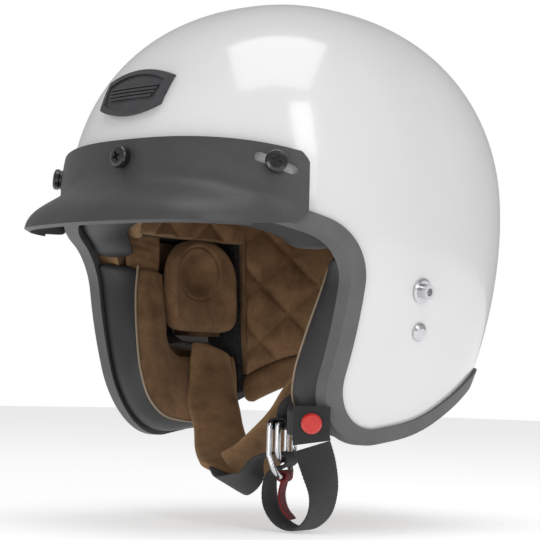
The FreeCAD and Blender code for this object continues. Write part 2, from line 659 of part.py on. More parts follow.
LEFT_COVER = [
    ((65.6, 5, -82), (0, 0.97, -0.2)),
    ((63.9, 2, -92), (0, 0.9, -0.35)),
    ((59.0, -8, -97), (0, 0.7, -0.65)),
    ((52.6, -21, -104), (0, 0.65, -0.7)),
    ((44, -31, -116), (0, 0.75, -0.6)),
    ((37, -36, -129), (0, 0.83, -0.55)),
    ((28, -40, -141), (0, 0.83, -0.55)),
    ((17, -43, -151), (0.1, 0.83, -0.55)),
    ((5, -47, -159), (0.25, 0.83, -0.5)),
]
RIGHT_COVER = [
    ((-69.5, 5, -82), (0, 1, 0)),
    ((-66, 2, -92), (0, 1, 0)),
    ((-58.5, -4, -104), (0.25, 0.97, 0)),
    ((-47.5, -13.5, -119), (0.5, 0.86, 0)),
    ((-36, -21, -131), (0.65, 0.76, 0)),
    ((-25.5, -28.5, -142), (0.7, 0.7, 0)),
    ((-14, -38, -153), (0.6, 0.78, -0.1)),
    ((-4, -46, -161), (0.4, 0.85, -0.3)),
]
CHIN_RUN = [
    ((6, -53, -167), (0.3, 0.85, -0.45)),
    ((20, -60, -166.5), (0.1, 0.85, -0.5)),
    ((33, -63, -160), (-0.15, 0.9, -0.35)),
]
SHORT_RUN = [
    ((70.6, -3, -88.5), (0, 1, 0)),
    ((67.0, -14.5, -97), (0.1, 0.98, -0.1)),
    ((58.8, -31.2, -107), (-0.15, 0.95, -0.1)),
    ((53.9, -46.2, -114.5), (-0.38, 0.92, 0)),
    ((52.6, -55.3, -120.5), (-0.407, 0.914, 0)),
]
TAIL_RUN = [
    ((46, -59.5, -167), (-0.35, 0.93, 0)),
    ((47, -58, -178), (-0.3, 0.95, 0)),
    ((54, -55, -187.5), (-0.25, 0.96, 0)),
    ((67, -53, -190), (-0.15, 0.98, 0)),
    ((79, -53, -182), (-0.05, 0.99, 0)),
    ((85.5, -56, -168), (0.1, 0.98, 0)),
    ((86.5, -62, -153), (0.45, 0.85, 0)),
    ((85.7, -67.2, -141), (0.7, 0.7, 0)),
]
SNAP_APPROACH = [
    ((59.3, -54.5, -122), (0, 0, 1)),
    ((62.3, -61.5, -125.5), (0, 0, 1)),
    ((68, -67.8, -128), (0, 0, 1)),
]
PULL_RUN = [(0, -2.6), (-1.5, -11), (0.5, -19), (5.5, -25)]


def ring_frame():
    """Bar direction, swing direction and centre of the buckle."""
    turn = math.radians(RING_TURN)
    bar = Vector(math.cos(turn), math.sin(turn), 0)
    return bar, Vector(-bar.y, bar.x, 0), Vector(*RING_CENTRE)


def ring_point(swing, height, along=0.0):
    bar, out, centre = ring_frame()
    return centre + out * swing + Vector(0, 0, height) + bar * along


def tube_path(points, radius):
    """Round wire through points with ball corners."""
    pieces = []
    for start, stop in zip(points, points[1:] + points[:1]):
        run = stop - start
        pieces.append(rod(radius, run.Length, start, run))
        pieces.append(Part.makeSphere(radius, start))
    return pieces[0].fuse(pieces[1:])


def d_ring(swing, depth, bend_depth=None):
    """Wire ring: straight bar, two legs, round corners and a far side."""
    outline = [(RING_HALF_WIDTH, 0), (-RING_HALF_WIDTH, 0)]
    corner_steps = 6
    for side, first in ((-1, 0), (1, corner_steps)):
        for step in range(corner_steps + 1):
            angle = math.pi / 2 * abs(first - step) / corner_steps
            outline.append((side * (RING_HALF_WIDTH - RING_CORNER
                                    + RING_CORNER * math.cos(angle)),
                            depth - RING_CORNER + RING_CORNER * math.sin(angle)))
    if bend_depth:
        outline.insert(2, (-RING_HALF_WIDTH, bend_depth))
        outline.append((RING_HALF_WIDTH, bend_depth))
    bend = math.radians(RING_BEND)
    points = []
    for along, down in outline:
        over = down - bend_depth if bend_depth and down > bend_depth else 0.0
        straight = down - over
        points.append(ring_point(swing + over * math.sin(bend),
                                 -straight - over * math.cos(bend), along))
    return tube_path(points, RING_WIRE)


def outer_ring_foot():
    """Swing offset and height of the outer ring's far side."""
    bend = math.radians(RING_BEND)
    over = OUTER_RING_DEPTH - RING_BEND_DEPTH
    return (-RING_SPACING / 2 + over * math.sin(bend),
            -RING_BEND_DEPTH - over * math.cos(bend))


def webbing_loop(centres, clearance, half_width):
    """Flat loop of webbing round one or more bars, in the plane across the bars."""
    bar, out, _ = ring_frame()
    inner = RING_WIRE + clearance
    outer = inner + WEBBING_THICKNESS

    def stadium(radius):
        left, right = centres[0], centres[-1]
        start = ring_point(left[0], left[1], -half_width)
        stop = ring_point(right[0], right[1], -half_width)
        solid = rod(radius, 2 * half_width, start, bar)
        if (stop - start).Length > 0:
            run = (stop - start).normalize()
            side = bar.cross(run) * radius
            far = ring_point(right[0], right[1], -half_width)
            corners = [start - side, far - side, far + side, start + side]
            flat = Part.Face(Part.makePolygon(corners + corners[:1]))
            solid = solid.fuse([flat.extrude(bar * (2 * half_width)),
                                rod(radius, 2 * half_width, far, bar)])
        return solid
    return stadium(outer).cut(stadium(inner))


def build_straps(anchor):
    place, axis, plate_foot, hole = anchor
    under = place + axis * (plate_foot - GAP - WEBBING_THICKNESS / 2)
    slot_z = STRAP_SLOT_TOP - STRAP_SLOT_HEIGHT / 2
    hidden = [
        (tuple(under + Vector(0.8, 0, 10)), (0, 1, 0)),
        (tuple(under), (0, 1, 0)),
        ((under.x - 3.5, under.y, slot_z + 3.5), (0, 1, 0)),
        ((under.x - 12, under.y + 2, slot_z), (0, 1, 0)),
        ((82, 0, slot_z), (0, 1, 0)),
        ((76, 0, slot_z - 1), (0, 1, 0)),
    ]
    upper = ribbon(hidden, WEBBING_WIDTH, WEBBING_THICKNESS).cut(hole)
    pair("anchor_webbing", upper)

    parts["strap_cover_left"] = ribbon(LEFT_COVER, COVER_WIDTH, COVER_THICKNESS, True)
    sleeve = ribbon(RIGHT_COVER, COVER_WIDTH, COVER_THICKNESS, True)
    passage = ribbon(RIGHT_COVER, WEBBING_WIDTH + 1, WEBBING_THICKNESS + 2 * GAP)
    parts["strap_cover_right"] = sleeve.cut(passage)

    bar, out, centre = ring_frame()
    fold_height = -INNER_RING_DEPTH
    fold_swing = RING_SPACING / 2
    turn_radius = RING_WIRE + 1.2 + WEBBING_THICKNESS / 2
    back = tuple(-bar)
    upper_layer = [(tuple(ring_point(-14, fold_height + turn_radius - 3)), back),
                   (tuple(ring_point(-5, fold_height + turn_radius - 0.3)), back),
                   (tuple(ring_point(fold_swing, fold_height + turn_radius)), back)]
    parts["long_webbing"] = ribbon(RIGHT_COVER + CHIN_RUN + upper_layer,
                                   WEBBING_WIDTH, WEBBING_THICKNESS)
    fold = []
    for step in range(0, 9):
        angle = math.pi / 2 - math.pi * step / 8
        fold.append((tuple(ring_point(fold_swing + turn_radius * math.cos(angle),
                                      fold_height + turn_radius * math.sin(angle))), back))
    lower_layer = [(tuple(ring_point(-1.5, fold_height - turn_radius - 1.2)), back),
                   (tuple(ring_point(-5.2, fold_height - turn_radius - 4.5)), back)]
    parts["strap_tail"] = ribbon(fold + lower_layer + TAIL_RUN, WEBBING_WIDTH, WEBBING_THICKNESS)

    bars = [(-RING_SPACING / 2, 0), (RING_SPACING / 2, 0)]
    loop = webbing_loop(bars, GAP, WEBBING_WIDTH / 2 - GAP)
    top = RING_WIRE + GAP + WEBBING_THICKNESS / 2
    down = SHORT_RUN + [(tuple(ring_point(0, top)), back)]
    parts["short_webbing"] = ribbon(down, WEBBING_WIDTH, WEBBING_THICKNESS).fuse(loop)
    parts["d_ring_outer"] = d_ring(-RING_SPACING / 2, OUTER_RING_DEPTH, RING_BEND_DEPTH)
    parts["d_ring_inner"] = d_ring(RING_SPACING / 2, INNER_RING_DEPTH)

    foot = outer_ring_foot()
    tab = webbing_loop([foot], GAP, TAB_WIDTH / 2)
    drop = [(tuple(ring_point(foot[0] + swing, foot[1] + height)), back)
            for swing, height in PULL_RUN]
    parts["pull_tab"] = ribbon(drop, TAB_WIDTH, WEBBING_THICKNESS).fuse(tab)


def build_snap():
    """Press snap: stud on its own strap, socket and cap on the tail's end."""
    turn = math.radians(SNAP_TURN)
    axis = Vector(math.cos(turn), math.sin(turn), 0)
    along = Vector(-axis.y, axis.x, 0)
    place = Vector(*SNAP_PLACE)
    half = WEBBING_THICKNESS / 2
    upright = (0, 0, 1)
    run = SNAP_APPROACH + [(tuple(place - along * 7), upright), (tuple(place + along * 6), upright)]
    shank_hole = rod(SNAP_SHANK_RADIUS + FIT_CLEARANCE, 20, place - axis * 5, axis)
    parts["snap_strap"] = ribbon(run, SNAP_STRAP_WIDTH, WEBBING_THICKNESS).cut(shank_hole)

    flange = half + LEG_CLEARANCE
    post = flange + SNAP_FLANGE
    post_top = post + 1.8
    back = -flange - SNAP_FLANGE
    parts["snap_stud"] = turned([(0, back), (SNAP_RADIUS - 1.5, back),
                                 (SNAP_RADIUS - 1.5, -flange), (SNAP_SHANK_RADIUS, -flange),
                                 (SNAP_SHANK_RADIUS, flange), (SNAP_RADIUS - 1, flange),
                                 (SNAP_RADIUS - 1, post), (SNAP_STUD_RADIUS, post),
                                 (SNAP_STUD_RADIUS, post_top), (0, post_top)], place, axis)
    socket = post + LEG_CLEARANCE
    socket_top = post_top + LEG_CLEARANCE
    bore = SNAP_STUD_RADIUS + FIT_CLEARANCE
    parts["snap_socket"] = turned([(bore, socket), (SNAP_RADIUS - 1, socket),
                                   (SNAP_RADIUS - 1, socket_top), (bore, socket_top)],
                                  place, axis)
    cloth = socket_top + LEG_CLEARANCE
    cap = cloth + WEBBING_THICKNESS + LEG_CLEARANCE
    top = cap + SNAP_CAP_HEIGHT
    parts["snap_cap"] = turned([(0, cloth), (SNAP_SHANK_RADIUS, cloth), (SNAP_SHANK_RADIUS, cap),
                                (SNAP_RADIUS, cap), (SNAP_RADIUS, cap + 1),
                                (SNAP_RADIUS - 1.2, top), (0, top)], place, axis)
    middle = place + axis * (cloth + half)
    end = [(tuple(middle + Vector(0, 0, lift)), tuple(along)) for lift in (-8, 0, 10)]
    end.insert(0, (tuple(Vector(*TAIL_RUN[-1][0]) + Vector(0, -0.4, TAIL_SPLIT)), TAIL_RUN[-1][1]))
    tail_end = ribbon(end, WEBBING_WIDTH, WEBBING_THICKNESS)
    parts["strap_tail_end"] = tail_end.cut(shank_hole)


def main():
    build_body()
    build_brow()
    build_cheeks()
    build_peak()
    build_fixings()
    build_badge()
    build_straps(build_side_hardware())
    build_snap()
    os.makedirs("parts", exist_ok=True)
    for name, shape in parts.items():
        shape.exportStep(f"parts/{name}.step")


main()
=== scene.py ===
import math

import bmesh
import bpy
import numpy as np
from mathutils import Matrix, Vector


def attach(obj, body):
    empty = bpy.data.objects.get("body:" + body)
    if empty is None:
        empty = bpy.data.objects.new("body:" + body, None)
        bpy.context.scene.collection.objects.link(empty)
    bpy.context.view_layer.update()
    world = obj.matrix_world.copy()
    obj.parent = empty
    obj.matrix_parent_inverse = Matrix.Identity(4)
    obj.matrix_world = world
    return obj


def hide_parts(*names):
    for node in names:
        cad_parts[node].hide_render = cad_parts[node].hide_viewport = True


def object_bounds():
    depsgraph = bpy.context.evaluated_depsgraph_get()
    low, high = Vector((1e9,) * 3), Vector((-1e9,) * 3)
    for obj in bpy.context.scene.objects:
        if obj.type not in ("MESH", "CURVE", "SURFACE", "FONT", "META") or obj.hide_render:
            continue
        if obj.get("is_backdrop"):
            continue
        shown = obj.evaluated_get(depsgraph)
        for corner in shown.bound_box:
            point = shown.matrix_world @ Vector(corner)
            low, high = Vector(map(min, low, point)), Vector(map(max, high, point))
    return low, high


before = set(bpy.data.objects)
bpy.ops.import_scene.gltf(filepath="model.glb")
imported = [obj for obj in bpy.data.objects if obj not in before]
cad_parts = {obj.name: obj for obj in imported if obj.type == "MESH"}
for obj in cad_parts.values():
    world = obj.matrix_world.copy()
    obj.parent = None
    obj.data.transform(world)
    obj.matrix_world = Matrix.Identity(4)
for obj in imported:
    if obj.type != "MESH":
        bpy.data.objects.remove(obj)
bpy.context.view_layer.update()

# Lengths are in millimetres until a mesh is made. +X is the wearer's left, -Y is forward.
PLAN, CROWN = 2.35, 2.17
BROW_SLOPE = math.tan(math.radians(19))
EDGE_CORNERS = [(-63.5, -25.5, 33.0), (-63.5, -144.5, 38.5), (15.0, -132.4, 120.0),
                (80.0, -100.8, 100.0)]
NAPE_END = (230.0, -88.0)
EDGE_STEP = 0.2                 # spacing of the samples along the edge
LINE_SAMPLES = 1500             # fine samples of a curve before it is spaced evenly


# ---- the helmet's two forms -----------------------------------------------------------

def shell(grow=0.0):
    """Half width, half length, crown height and narrowing of a layer of the shell."""
    return np.array([122.0 + grow, 138.0 + grow, 132.6 + grow, 0.13])


def head(grow=0.0):
    """The same for the head space inside the padding."""
    return np.array([78.0 + grow, 98.0 + grow, 92.0 + grow, 0.07])


def share_at(form, z):
    """Plan scale at a height: 1 - n (z/100)^2 below, (1 - (z/C)^q)^(1/q) above."""
    low = 1 - form[3] * (z / 100) ** 2
    high = np.clip(1 - (np.maximum(z, 0) / form[2]) ** CROWN, 0, None) ** (1 / CROWN)
    return np.where(z < 0, low, high)


def side_x(form, y, z):
    """Half width of a form: x = A s (1 - |y / (B s)|^p)^(1/p)."""
    scale = np.maximum(share_at(form, z), 1e-9)
    inside = np.clip(1 - (np.abs(y) / (form[1] * scale)) ** PLAN, 0, None)
    return form[0] * scale * inside ** (1 / PLAN)


def dome(form, turn, lift):
    """Point of a form: plan superellipse of radius (|cos|^p + |sin|^p)^(-1/p) at angle turn,
    scaled by s(z); lift from -1 (150 mm down) through 0 to 1 (crown, superellipse in height)."""
    rise = np.clip(lift, 0, 1) * math.pi / 2
    reach = (np.cos(rise) ** CROWN + np.sin(rise) ** CROWN) ** (-1 / CROWN)
    z = np.where(lift < 0, 150 * lift, form[2] * reach * np.sin(rise))
    scale = np.where(lift < 0, 1 - form[3] * (z / 100) ** 2, reach * np.cos(rise))
    plan = (np.abs(np.cos(turn)) ** PLAN + np.abs(np.sin(turn)) ** PLAN) ** (-1 / PLAN)
    return np.stack([form[0] * scale * plan * np.cos(turn),
                     form[1] * scale * plan * np.sin(turn), z + 0 * turn], axis=-1)


# ---- the shell's edge in side view ----------------------------------------------------

def edge_outline():
    """Straight runs joined by arcs, as points EDGE_STEP apart with normals into the shell."""
    corners = [(-260.0, EDGE_CORNERS[0][1] - (260 + EDGE_CORNERS[0][0]) * -BROW_SLOPE, 0.0)]
    corners += EDGE_CORNERS + [(*NAPE_END, 0.0)]
    line = [np.array(corners[0][:2])]
    for before, here, after in zip(corners, corners[1:], corners[2:]):
        spot = np.array(here[:2])
        back = np.array(before[:2]) - spot
        on = np.array(after[:2]) - spot
        back, on = back / np.linalg.norm(back), on / np.linalg.norm(on)
        half = math.acos(float(back @ on)) / 2
        middle = spot + (back + on) / np.linalg.norm(back + on) * here[2] / math.sin(half)
        start, stop = (spot + way * here[2] / math.tan(half) - middle for way in (back, on))
        sweep = math.atan2(start[0] * stop[1] - start[1] * stop[0], float(start @ stop))
        angle = np.linspace(0, sweep, 90)
        line += [middle + start * math.cos(a) + np.array([-start[1], start[0]]) * math.sin(a)
                 for a in angle]
    line = np.array(line + [np.array(corners[-1][:2])])
    length = np.r_[0, np.cumsum(np.linalg.norm(np.diff(line, axis=0), axis=1))]
    even = np.arange(0, length[-1], EDGE_STEP)
    y, z = np.interp(even, length, line[:, 0]), np.interp(even, length, line[:, 1])
    heading = np.stack([np.gradient(y), np.gradient(z)])
    heading /= np.linalg.norm(heading, axis=0)
    return even, y, z, -heading[1], heading[0]


EDGE_S, EDGE_Y, EDGE_Z, EDGE_NY, EDGE_NZ = edge_outline()


def edge_at(place, inset):
    """Side view points at distances along the edge, moved into the shell by inset."""
    y = np.interp(place, EDGE_S, EDGE_Y) + np.interp(place, EDGE_S, EDGE_NY) * inset
    z = np.interp(place, EDGE_S, EDGE_Z) + np.interp(place, EDGE_S, EDGE_NZ) * inset
    return y, z


def edge_place(y=None, z=None):
    """Distance along the edge to a given height on the jaw's front, or to a given y below it."""
    if z is not None:
        ahead = np.nonzero((EDGE_Z < z) & (EDGE_Y < -50))[0]
        return EDGE_S[ahead[0]]
    below = np.nonzero((EDGE_Y > y) & (EDGE_Z < -60))[0]
    return EDGE_S[below[0]]


def edge_line(inset, form, count=300):
    """Left half of the line where a form meets the edge moved in by inset, even in length."""
    y, z = EDGE_Y + EDGE_NY * inset, EDGE_Z + EDGE_NZ * inset
    reach = np.abs(y) / (form[1] * np.maximum(share_at(form, z), 1e-6))
    inside = np.nonzero(reach < 1)[0]
    first, last = inside[0], inside[-1]
    ends = []
    for a, b in ((first - 1, first), (last + 1, last)):
        t = (1 - reach[a]) / (reach[b] - reach[a])
        ends.append(EDGE_S[a] + t * (EDGE_S[b] - EDGE_S[a]))
    place = ends[0] + (ends[1] - ends[0]) * (1 - np.cos(np.linspace(0, math.pi, 4000))) / 2
    yy, zz = edge_at(place, inset)
    x = side_x(form, yy, zz)
    x[0] = x[-1] = 0
    points = np.stack([x, yy, zz], axis=-1)
    length = np.r_[0, np.cumsum(np.linalg.norm(np.diff(points, axis=0), axis=1))]
    even = np.linspace(0, length[-1], count)
    return np.stack([np.interp(even, length, points[:, k]) for k in range(3)], axis=-1)


def mirror(points):
    return points * np.array([-1.0, 1.0, 1.0])


# ---- meshes -----------------------------------------------------------------------------

def smooth_line(points, count):
    """Catmull-Rom line on chord length through points, count samples even in length."""
    points = np.asarray(points, float)
    padded = np.vstack([2 * points[0] - points[1], points, 2 * points[-1] - points[-2]])
    chord = np.r_[0, np.cumsum(np.maximum(np.linalg.norm(np.diff(padded[:, :3], axis=0),
                                                         axis=1), 1e-6) ** 0.6)]
    fine = np.linspace(chord[1], chord[-2], LINE_SAMPLES)
    k = np.clip(np.searchsorted(chord, fine, side="right") - 1, 1, len(points) - 1)
    t0, t1, t2, t3 = chord[k - 1], chord[k], chord[k + 1], chord[k + 2]
    p0, p1, p2, p3 = padded[k - 1], padded[k], padded[k + 1], padded[k + 2]

    def mix(a, b, ta, tb):
        share = ((fine - ta) / (tb - ta))[:, None]
        return a * (1 - share) + b * share
    a1, a2, a3 = mix(p0, p1, t0, t1), mix(p1, p2, t1, t2), mix(p2, p3, t2, t3)
    line = mix(mix(a1, a2, t0, t2), mix(a2, a3, t1, t3), t1, t2)
    length = np.r_[0, np.cumsum(np.linalg.norm(np.diff(line[:, :3], axis=0), axis=1))]
    even = np.linspace(0, length[-1], count)
    return np.stack([np.interp(even, length, line[:, k]) for k in range(line.shape[1])],
                    axis=-1), even


def unit(v):
    return v / np.maximum(np.linalg.norm(v, axis=-1, keepdims=True), 1e-12)


def make(name, grids, finish, body, replaces=(), sharp=50):
    """One mesh from grids (points, rows closed, columns closed, along, across) in mm: every
    cell is a quad, along and across become the UV map in mm, doubles are merged and the
    normals turned outwards."""
    verts, faces, uvs, base = [], [], [], 0
    for points, loop_rows, loop_cols, along, across in grids:
        rows, cols = points.shape[:2]
        i, j = np.meshgrid(np.arange(rows if loop_rows else rows - 1),
                           np.arange(cols if loop_cols else cols - 1), indexing="ij")
        i2, j2 = (i + 1) % rows, (j + 1) % cols
        quad = np.stack([i * cols + j, i * cols + j2, i2 * cols + j2, i2 * cols + j], axis=-1)
        along = np.arange(rows + 1.0) if along is None else along
        across = np.arange(cols + 1.0) if across is None else across
        if len(along) == rows:
            along = np.r_[along, 2 * along[-1] - along[-2]]
        if len(across) == cols:
            across = np.r_[across, 2 * across[-1] - across[-2]]
        uv = np.stack([np.stack([along[a], across[b]], axis=-1)
                       for a, b in ((i, j), (i, j + 1), (i + 1, j + 1), (i + 1, j))], axis=2)
        verts.append(points.reshape(-1, 3) / 1000)
        faces.append(quad.reshape(-1, 4) + base)
        uvs.append(uv.reshape(-1, 2))
        base += rows * cols
    mesh = bpy.data.meshes.new(name)
    mesh.from_pydata(np.concatenate(verts).tolist(), [], np.concatenate(faces).tolist())
    layer = mesh.uv_layers.new(name="UVMap")
    layer.data.foreach_set("uv", np.concatenate(uvs).ravel())
    work = bmesh.new()
    work.from_mesh(mesh)
    bmesh.ops.remove_doubles(work, verts=work.verts, dist=4e-6)
    bmesh.ops.dissolve_degenerate(work, edges=work.edges, dist=1e-6)
    bmesh.ops.recalc_face_normals(work, faces=work.faces)
    work.to_mesh(mesh)
    work.free()
    mesh.polygons.foreach_set("use_smooth", np.ones(len(mesh.polygons), bool))
    mesh.set_sharp_from_angle(angle=math.radians(sharp))
    piece = bpy.data.objects.new(name, mesh)
    bpy.context.scene.collection.objects.link(piece)
    mesh.materials.append(finish)
    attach(piece, body)
    if replaces:
        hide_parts(*replaces)
    return piece


def ends_closed(points, mm=0.0):
    """Grid of rings with both ends drawn in to their middles, rounded over the last mm."""
    middle = points.mean(axis=1, keepdims=True)
    if mm:
        step = np.r_[0, np.cumsum(np.linalg.norm(np.diff(middle[:, 0], axis=0), axis=1))]
        edge = np.clip(np.minimum(step, step[-1] - step) / mm, 0, 1)
        scale = np.sqrt(np.clip(1 - (1 - edge) ** 2, 0, 1))[:, None, None]
        return middle + (points - middle) * scale
    flat = np.broadcast_to(middle, points.shape)
    return np.concatenate([flat[:1], points, flat[-1:]])


def section(half_width, half_thickness, squareness=6.0, count=28):
    """Superellipse section: (a cos^(2/m), b sin^(2/m))."""
    angle = np.arange(count) * 2 * math.pi / count
    c, s = np.cos(angle), np.sin(angle)
    return (half_width * np.sign(c) * np.abs(c) ** (2 / squareness),
            half_thickness * np.sign(s) * np.abs(s) ** (2 / squareness))


def frames(stations, count):
    """Path, width direction and face direction through (point, width direction) stations."""
    flat = np.array([list(p) + [10 * c for c in w] for p, w in stations], float)
    line, length = smooth_line(flat, count)
    path = line[:, :3]
    ahead = unit(np.gradient(path, axis=0))
    wide = unit(line[:, 3:])
    wide = unit(wide - ahead * (ahead * wide).sum(axis=1, keepdims=True))
    return path, wide, np.cross(ahead, wide), length


def swept(stations, count, half_width, half_thickness, squareness=6.0, cols=28, round_mm=0.0,
          offset=0.0):
    """Section carried along stations: p + w a + n b, ends closed."""
    path, wide, face, length = frames(stations, count)
    a, b = section(1.0, 1.0, squareness, cols)
    half_width = np.broadcast_to(half_width, count)[:, None, None]
    half_thickness = np.broadcast_to(half_thickness, count)[:, None, None]
    points = ((path + face * offset)[:, None] + wide[:, None] * a[:, None] * half_width
              + face[:, None] * b[:, None] * half_thickness)
    points = ends_closed(points, round_mm)
    if not round_mm:
        length = np.r_[length[0], length, length[-1]]
    around = np.r_[a, a[:1]] * half_width.mean()
    return points, False, True, length, around


def tube(path, radius, closed=False, cols=14):
    """Round wire along points: centre + r (u cos + v sin)."""
    path = np.asarray(path, float)
    ahead = (unit(np.roll(path, -1, 0) - np.roll(path, 1, 0)) if closed
             else unit(np.gradient(path, axis=0)))
    side = np.cross(ahead, [0.31, 0.22, 0.92])
    side = unit(side)
    for k in range(1, len(path)):
        side[k] = side[k - 1] - ahead[k] * (side[k - 1] @ ahead[k])
        side[k] /= np.linalg.norm(side[k])
    up = np.cross(ahead, side)
    angle = (np.arange(cols) * 2 * math.pi / cols)[None, :, None]
    points = path[:, None] + radius * (side[:, None] * np.cos(angle) + up[:, None] * np.sin(angle))
    if not closed:
        points = ends_closed(points)
    return points, closed, True, None, None


# ---- materials -----------------------------------------------------------------------

class Value:
    """One output of a node; arithmetic on it adds Math nodes."""

    def __init__(self, finish, socket):
        self.finish, self.socket = finish, socket

    def sum_with(self, kind, a, b):
        return self.finish.node("Math", {"operation": kind}, a, b)

    def __add__(self, other):
        return self.sum_with("ADD", self, other)

    def __sub__(self, other):
        return self.sum_with("SUBTRACT", self, other)

    def __rsub__(self, other):
        return self.sum_with("SUBTRACT", other, self)

    def __mul__(self, other):
        return self.sum_with("MULTIPLY", self, other)

    def __truediv__(self, other):
        return self.sum_with("DIVIDE", self, other)

    def __pow__(self, other):
        return self.sum_with("POWER", self, other)

    __radd__, __rmul__ = __add__, __mul__


class Finish:
    """A material with one Principled shader and the nodes that feed it."""

    def __init__(self, name, colour, roughness, **fixed):
        self.material = bpy.data.materials.new(name)
        self.material.use_nodes = True
        self.tree = self.material.node_tree
        self.shader = self.tree.nodes["Principled BSDF"]
        self.shader.inputs["Base Color"].default_value = (*colour, 1)
        self.shader.inputs["Roughness"].default_value = roughness
        for key, value in fixed.items():
            self.shader.inputs[key.replace("_", " ")].default_value = value
        self.material.diffuse_color = (*colour, 1)

    def node(self, kind, settings, *values, output=0, **named):
        """Adds one node: settings first, then values or links by place or by name."""
        node = self.tree.nodes.new("ShaderNode" + kind)
        for key, value in settings.items():
            if key == "stops":
                ramp = node.color_ramp
                while len(ramp.elements) < len(value):
                    ramp.elements.new(0.5)
                for element, (place, grey) in zip(ramp.elements, value):
                    element.position, element.color = place, (grey, grey, grey, 1)
            else:
                setattr(node, key, value)
        for key, value in [*enumerate(values), *named.items()]:
            socket = node.inputs[key if isinstance(key, int) else key.replace("_", " ")]
            if isinstance(value, Value):
                self.tree.links.new(value.socket, socket)
            elif value is not None:
                socket.default_value = value
        return Value(self, node.outputs[output])

    def place(self, kind="Object", stretch=(1, 1, 1), turn=(0, 0, 0)):
        """Coordinates in millimetres (Object) or in the UV map's millimetres."""
        source = self.node("TexCoord", {}, output=kind)
        scale = [1000 * s if kind == "Object" else s for s in stretch]
        return self.node("Mapping", {}, Vector=source, Rotation=turn, Scale=scale)

    def noise(self, where, size, detail=4.0, roughness=0.55):
        return self.node("TexNoise", {}, Vector=where, Scale=1 / size, Detail=detail,
                         Roughness=roughness, output=0)

    def feed(self, **sockets):
        for key, value in sockets.items():
            self.tree.links.new(value.socket, self.shader.inputs[key.replace("_", " ")])

    def bump(self, height, depth, strength=1.0):
        """Relief from a height of 0 to 1, depth in millimetres."""
        self.feed(Normal=self.node("Bump", {}, Strength=strength, Distance=depth / 1000,
                                   Height=height))

    def tint(self, dark, light, amount):
        """Base colour between two colours by a value from 0 to 1."""
        self.feed(Base_Color=self.blend(dark, light, amount))

    def blend(self, dark, light, amount):
        node = self.tree.nodes.new("ShaderNodeMix")
        node.data_type = "RGBA"
        self.tree.links.new(amount.socket, node.inputs[0])
        for place, colour in ((6, dark), (7, light)):
            if isinstance(colour, Value):
                self.tree.links.new(colour.socket, node.inputs[place])
            else:
                node.inputs[place].default_value = (*colour, 1)
        return Value(self, node.outputs[2])


def gloss_white():
    f = Finish("gloss_white_lacquer", (0.80, 0.80, 0.81), 0.22, Coat_Weight=1.0,
               Coat_Roughness=0.10, Specular_IOR_Level=0.5)
    cloud = f.noise(f.place(), 60.0, 2.0)
    f.tint((0.77, 0.77, 0.785), (0.83, 0.83, 0.835), cloud)
    f.bump(f.noise(f.place(), 2.2, 2.0), 0.012, 0.35)
    return f.material


def trim_rubber():
    f = Finish("trim_rubber", (0.13, 0.13, 0.135), 0.62)
    grain = f.noise(f.place(), 0.5, 3.0)
    wear = f.noise(f.place(), 18.0, 3.0)
    f.tint((0.085, 0.086, 0.09), (0.15, 0.15, 0.155), wear)
    f.feed(Roughness=wear * 0.15 + 0.52)
    f.bump(grain, 0.06, 0.5)
    return f.material


def peak_plastic():
    f = Finish("peak_plastic", (0.05, 0.05, 0.054), 0.42, Specular_IOR_Level=0.6)
    grain = f.node("TexVoronoi", {"feature": "SMOOTH_F1"}, Vector=f.place(), Scale=1 / 0.9)
    soft = f.noise(f.place(), 25.0, 3.0)
    f.tint((0.035, 0.035, 0.038), (0.062, 0.062, 0.066), soft)
    f.feed(Roughness=f.noise(f.place(), 0.8, 2.0) * 0.3 + 0.27)
    f.bump(grain + f.noise(f.place(), 0.45, 2.0) * 0.6, 0.16, 0.75)
    return f.material


def badge_rubber():
    f = Finish("badge_rubber", (0.05, 0.05, 0.055), 0.55)
    f.tint((0.03, 0.031, 0.034), (0.07, 0.07, 0.075), f.noise(f.place(), 9.0, 3.0))
    f.bump(f.noise(f.place(), 0.5, 2.0), 0.07, 0.5)
    return f.material


def black_gloss():
    f = Finish("black_hardware", (0.008, 0.008, 0.009), 0.22, Coat_Weight=0.6,
               Coat_Roughness=0.08)
    f.feed(Roughness=f.noise(f.place(), 1.5, 3.0) * 0.2 + 0.14)
    return f.material


def foam():
    f = Finish("foam", (0.04, 0.04, 0.042), 0.85)
    beads = f.node("TexVoronoi", {}, Vector=f.place(), Scale=1 / 3.5)
    f.tint((0.02, 0.02, 0.021), (0.06, 0.06, 0.062), beads)
    f.bump(1 - beads, 0.5, 0.6)
    return f.material


def suede(name, dark, light):
    """Napped leather: blotches where the nap lies differently, fine fibre relief, soft sheen."""
    f = Finish(name, light, 0.92, Sheen_Weight=0.35, Sheen_Roughness=0.45)
    f.shader.inputs["Sheen Tint"].default_value = (0.75, 0.55, 0.36, 1)
    patches = f.noise(f.place(), 16.0, 5.0, 0.6)
    nap = f.noise(f.place(stretch=(1, 1, 0.5)), 1.1, 4.0, 0.7)
    amount = f.node("ValToRGB", {"stops": [(0.32, 0.0), (0.68, 1.0)]}, patches * 0.7 + nap * 0.3)
    f.tint(dark, light, amount)
    f.bump(nap + patches * 0.5, 0.22, 0.55)
    return f.material


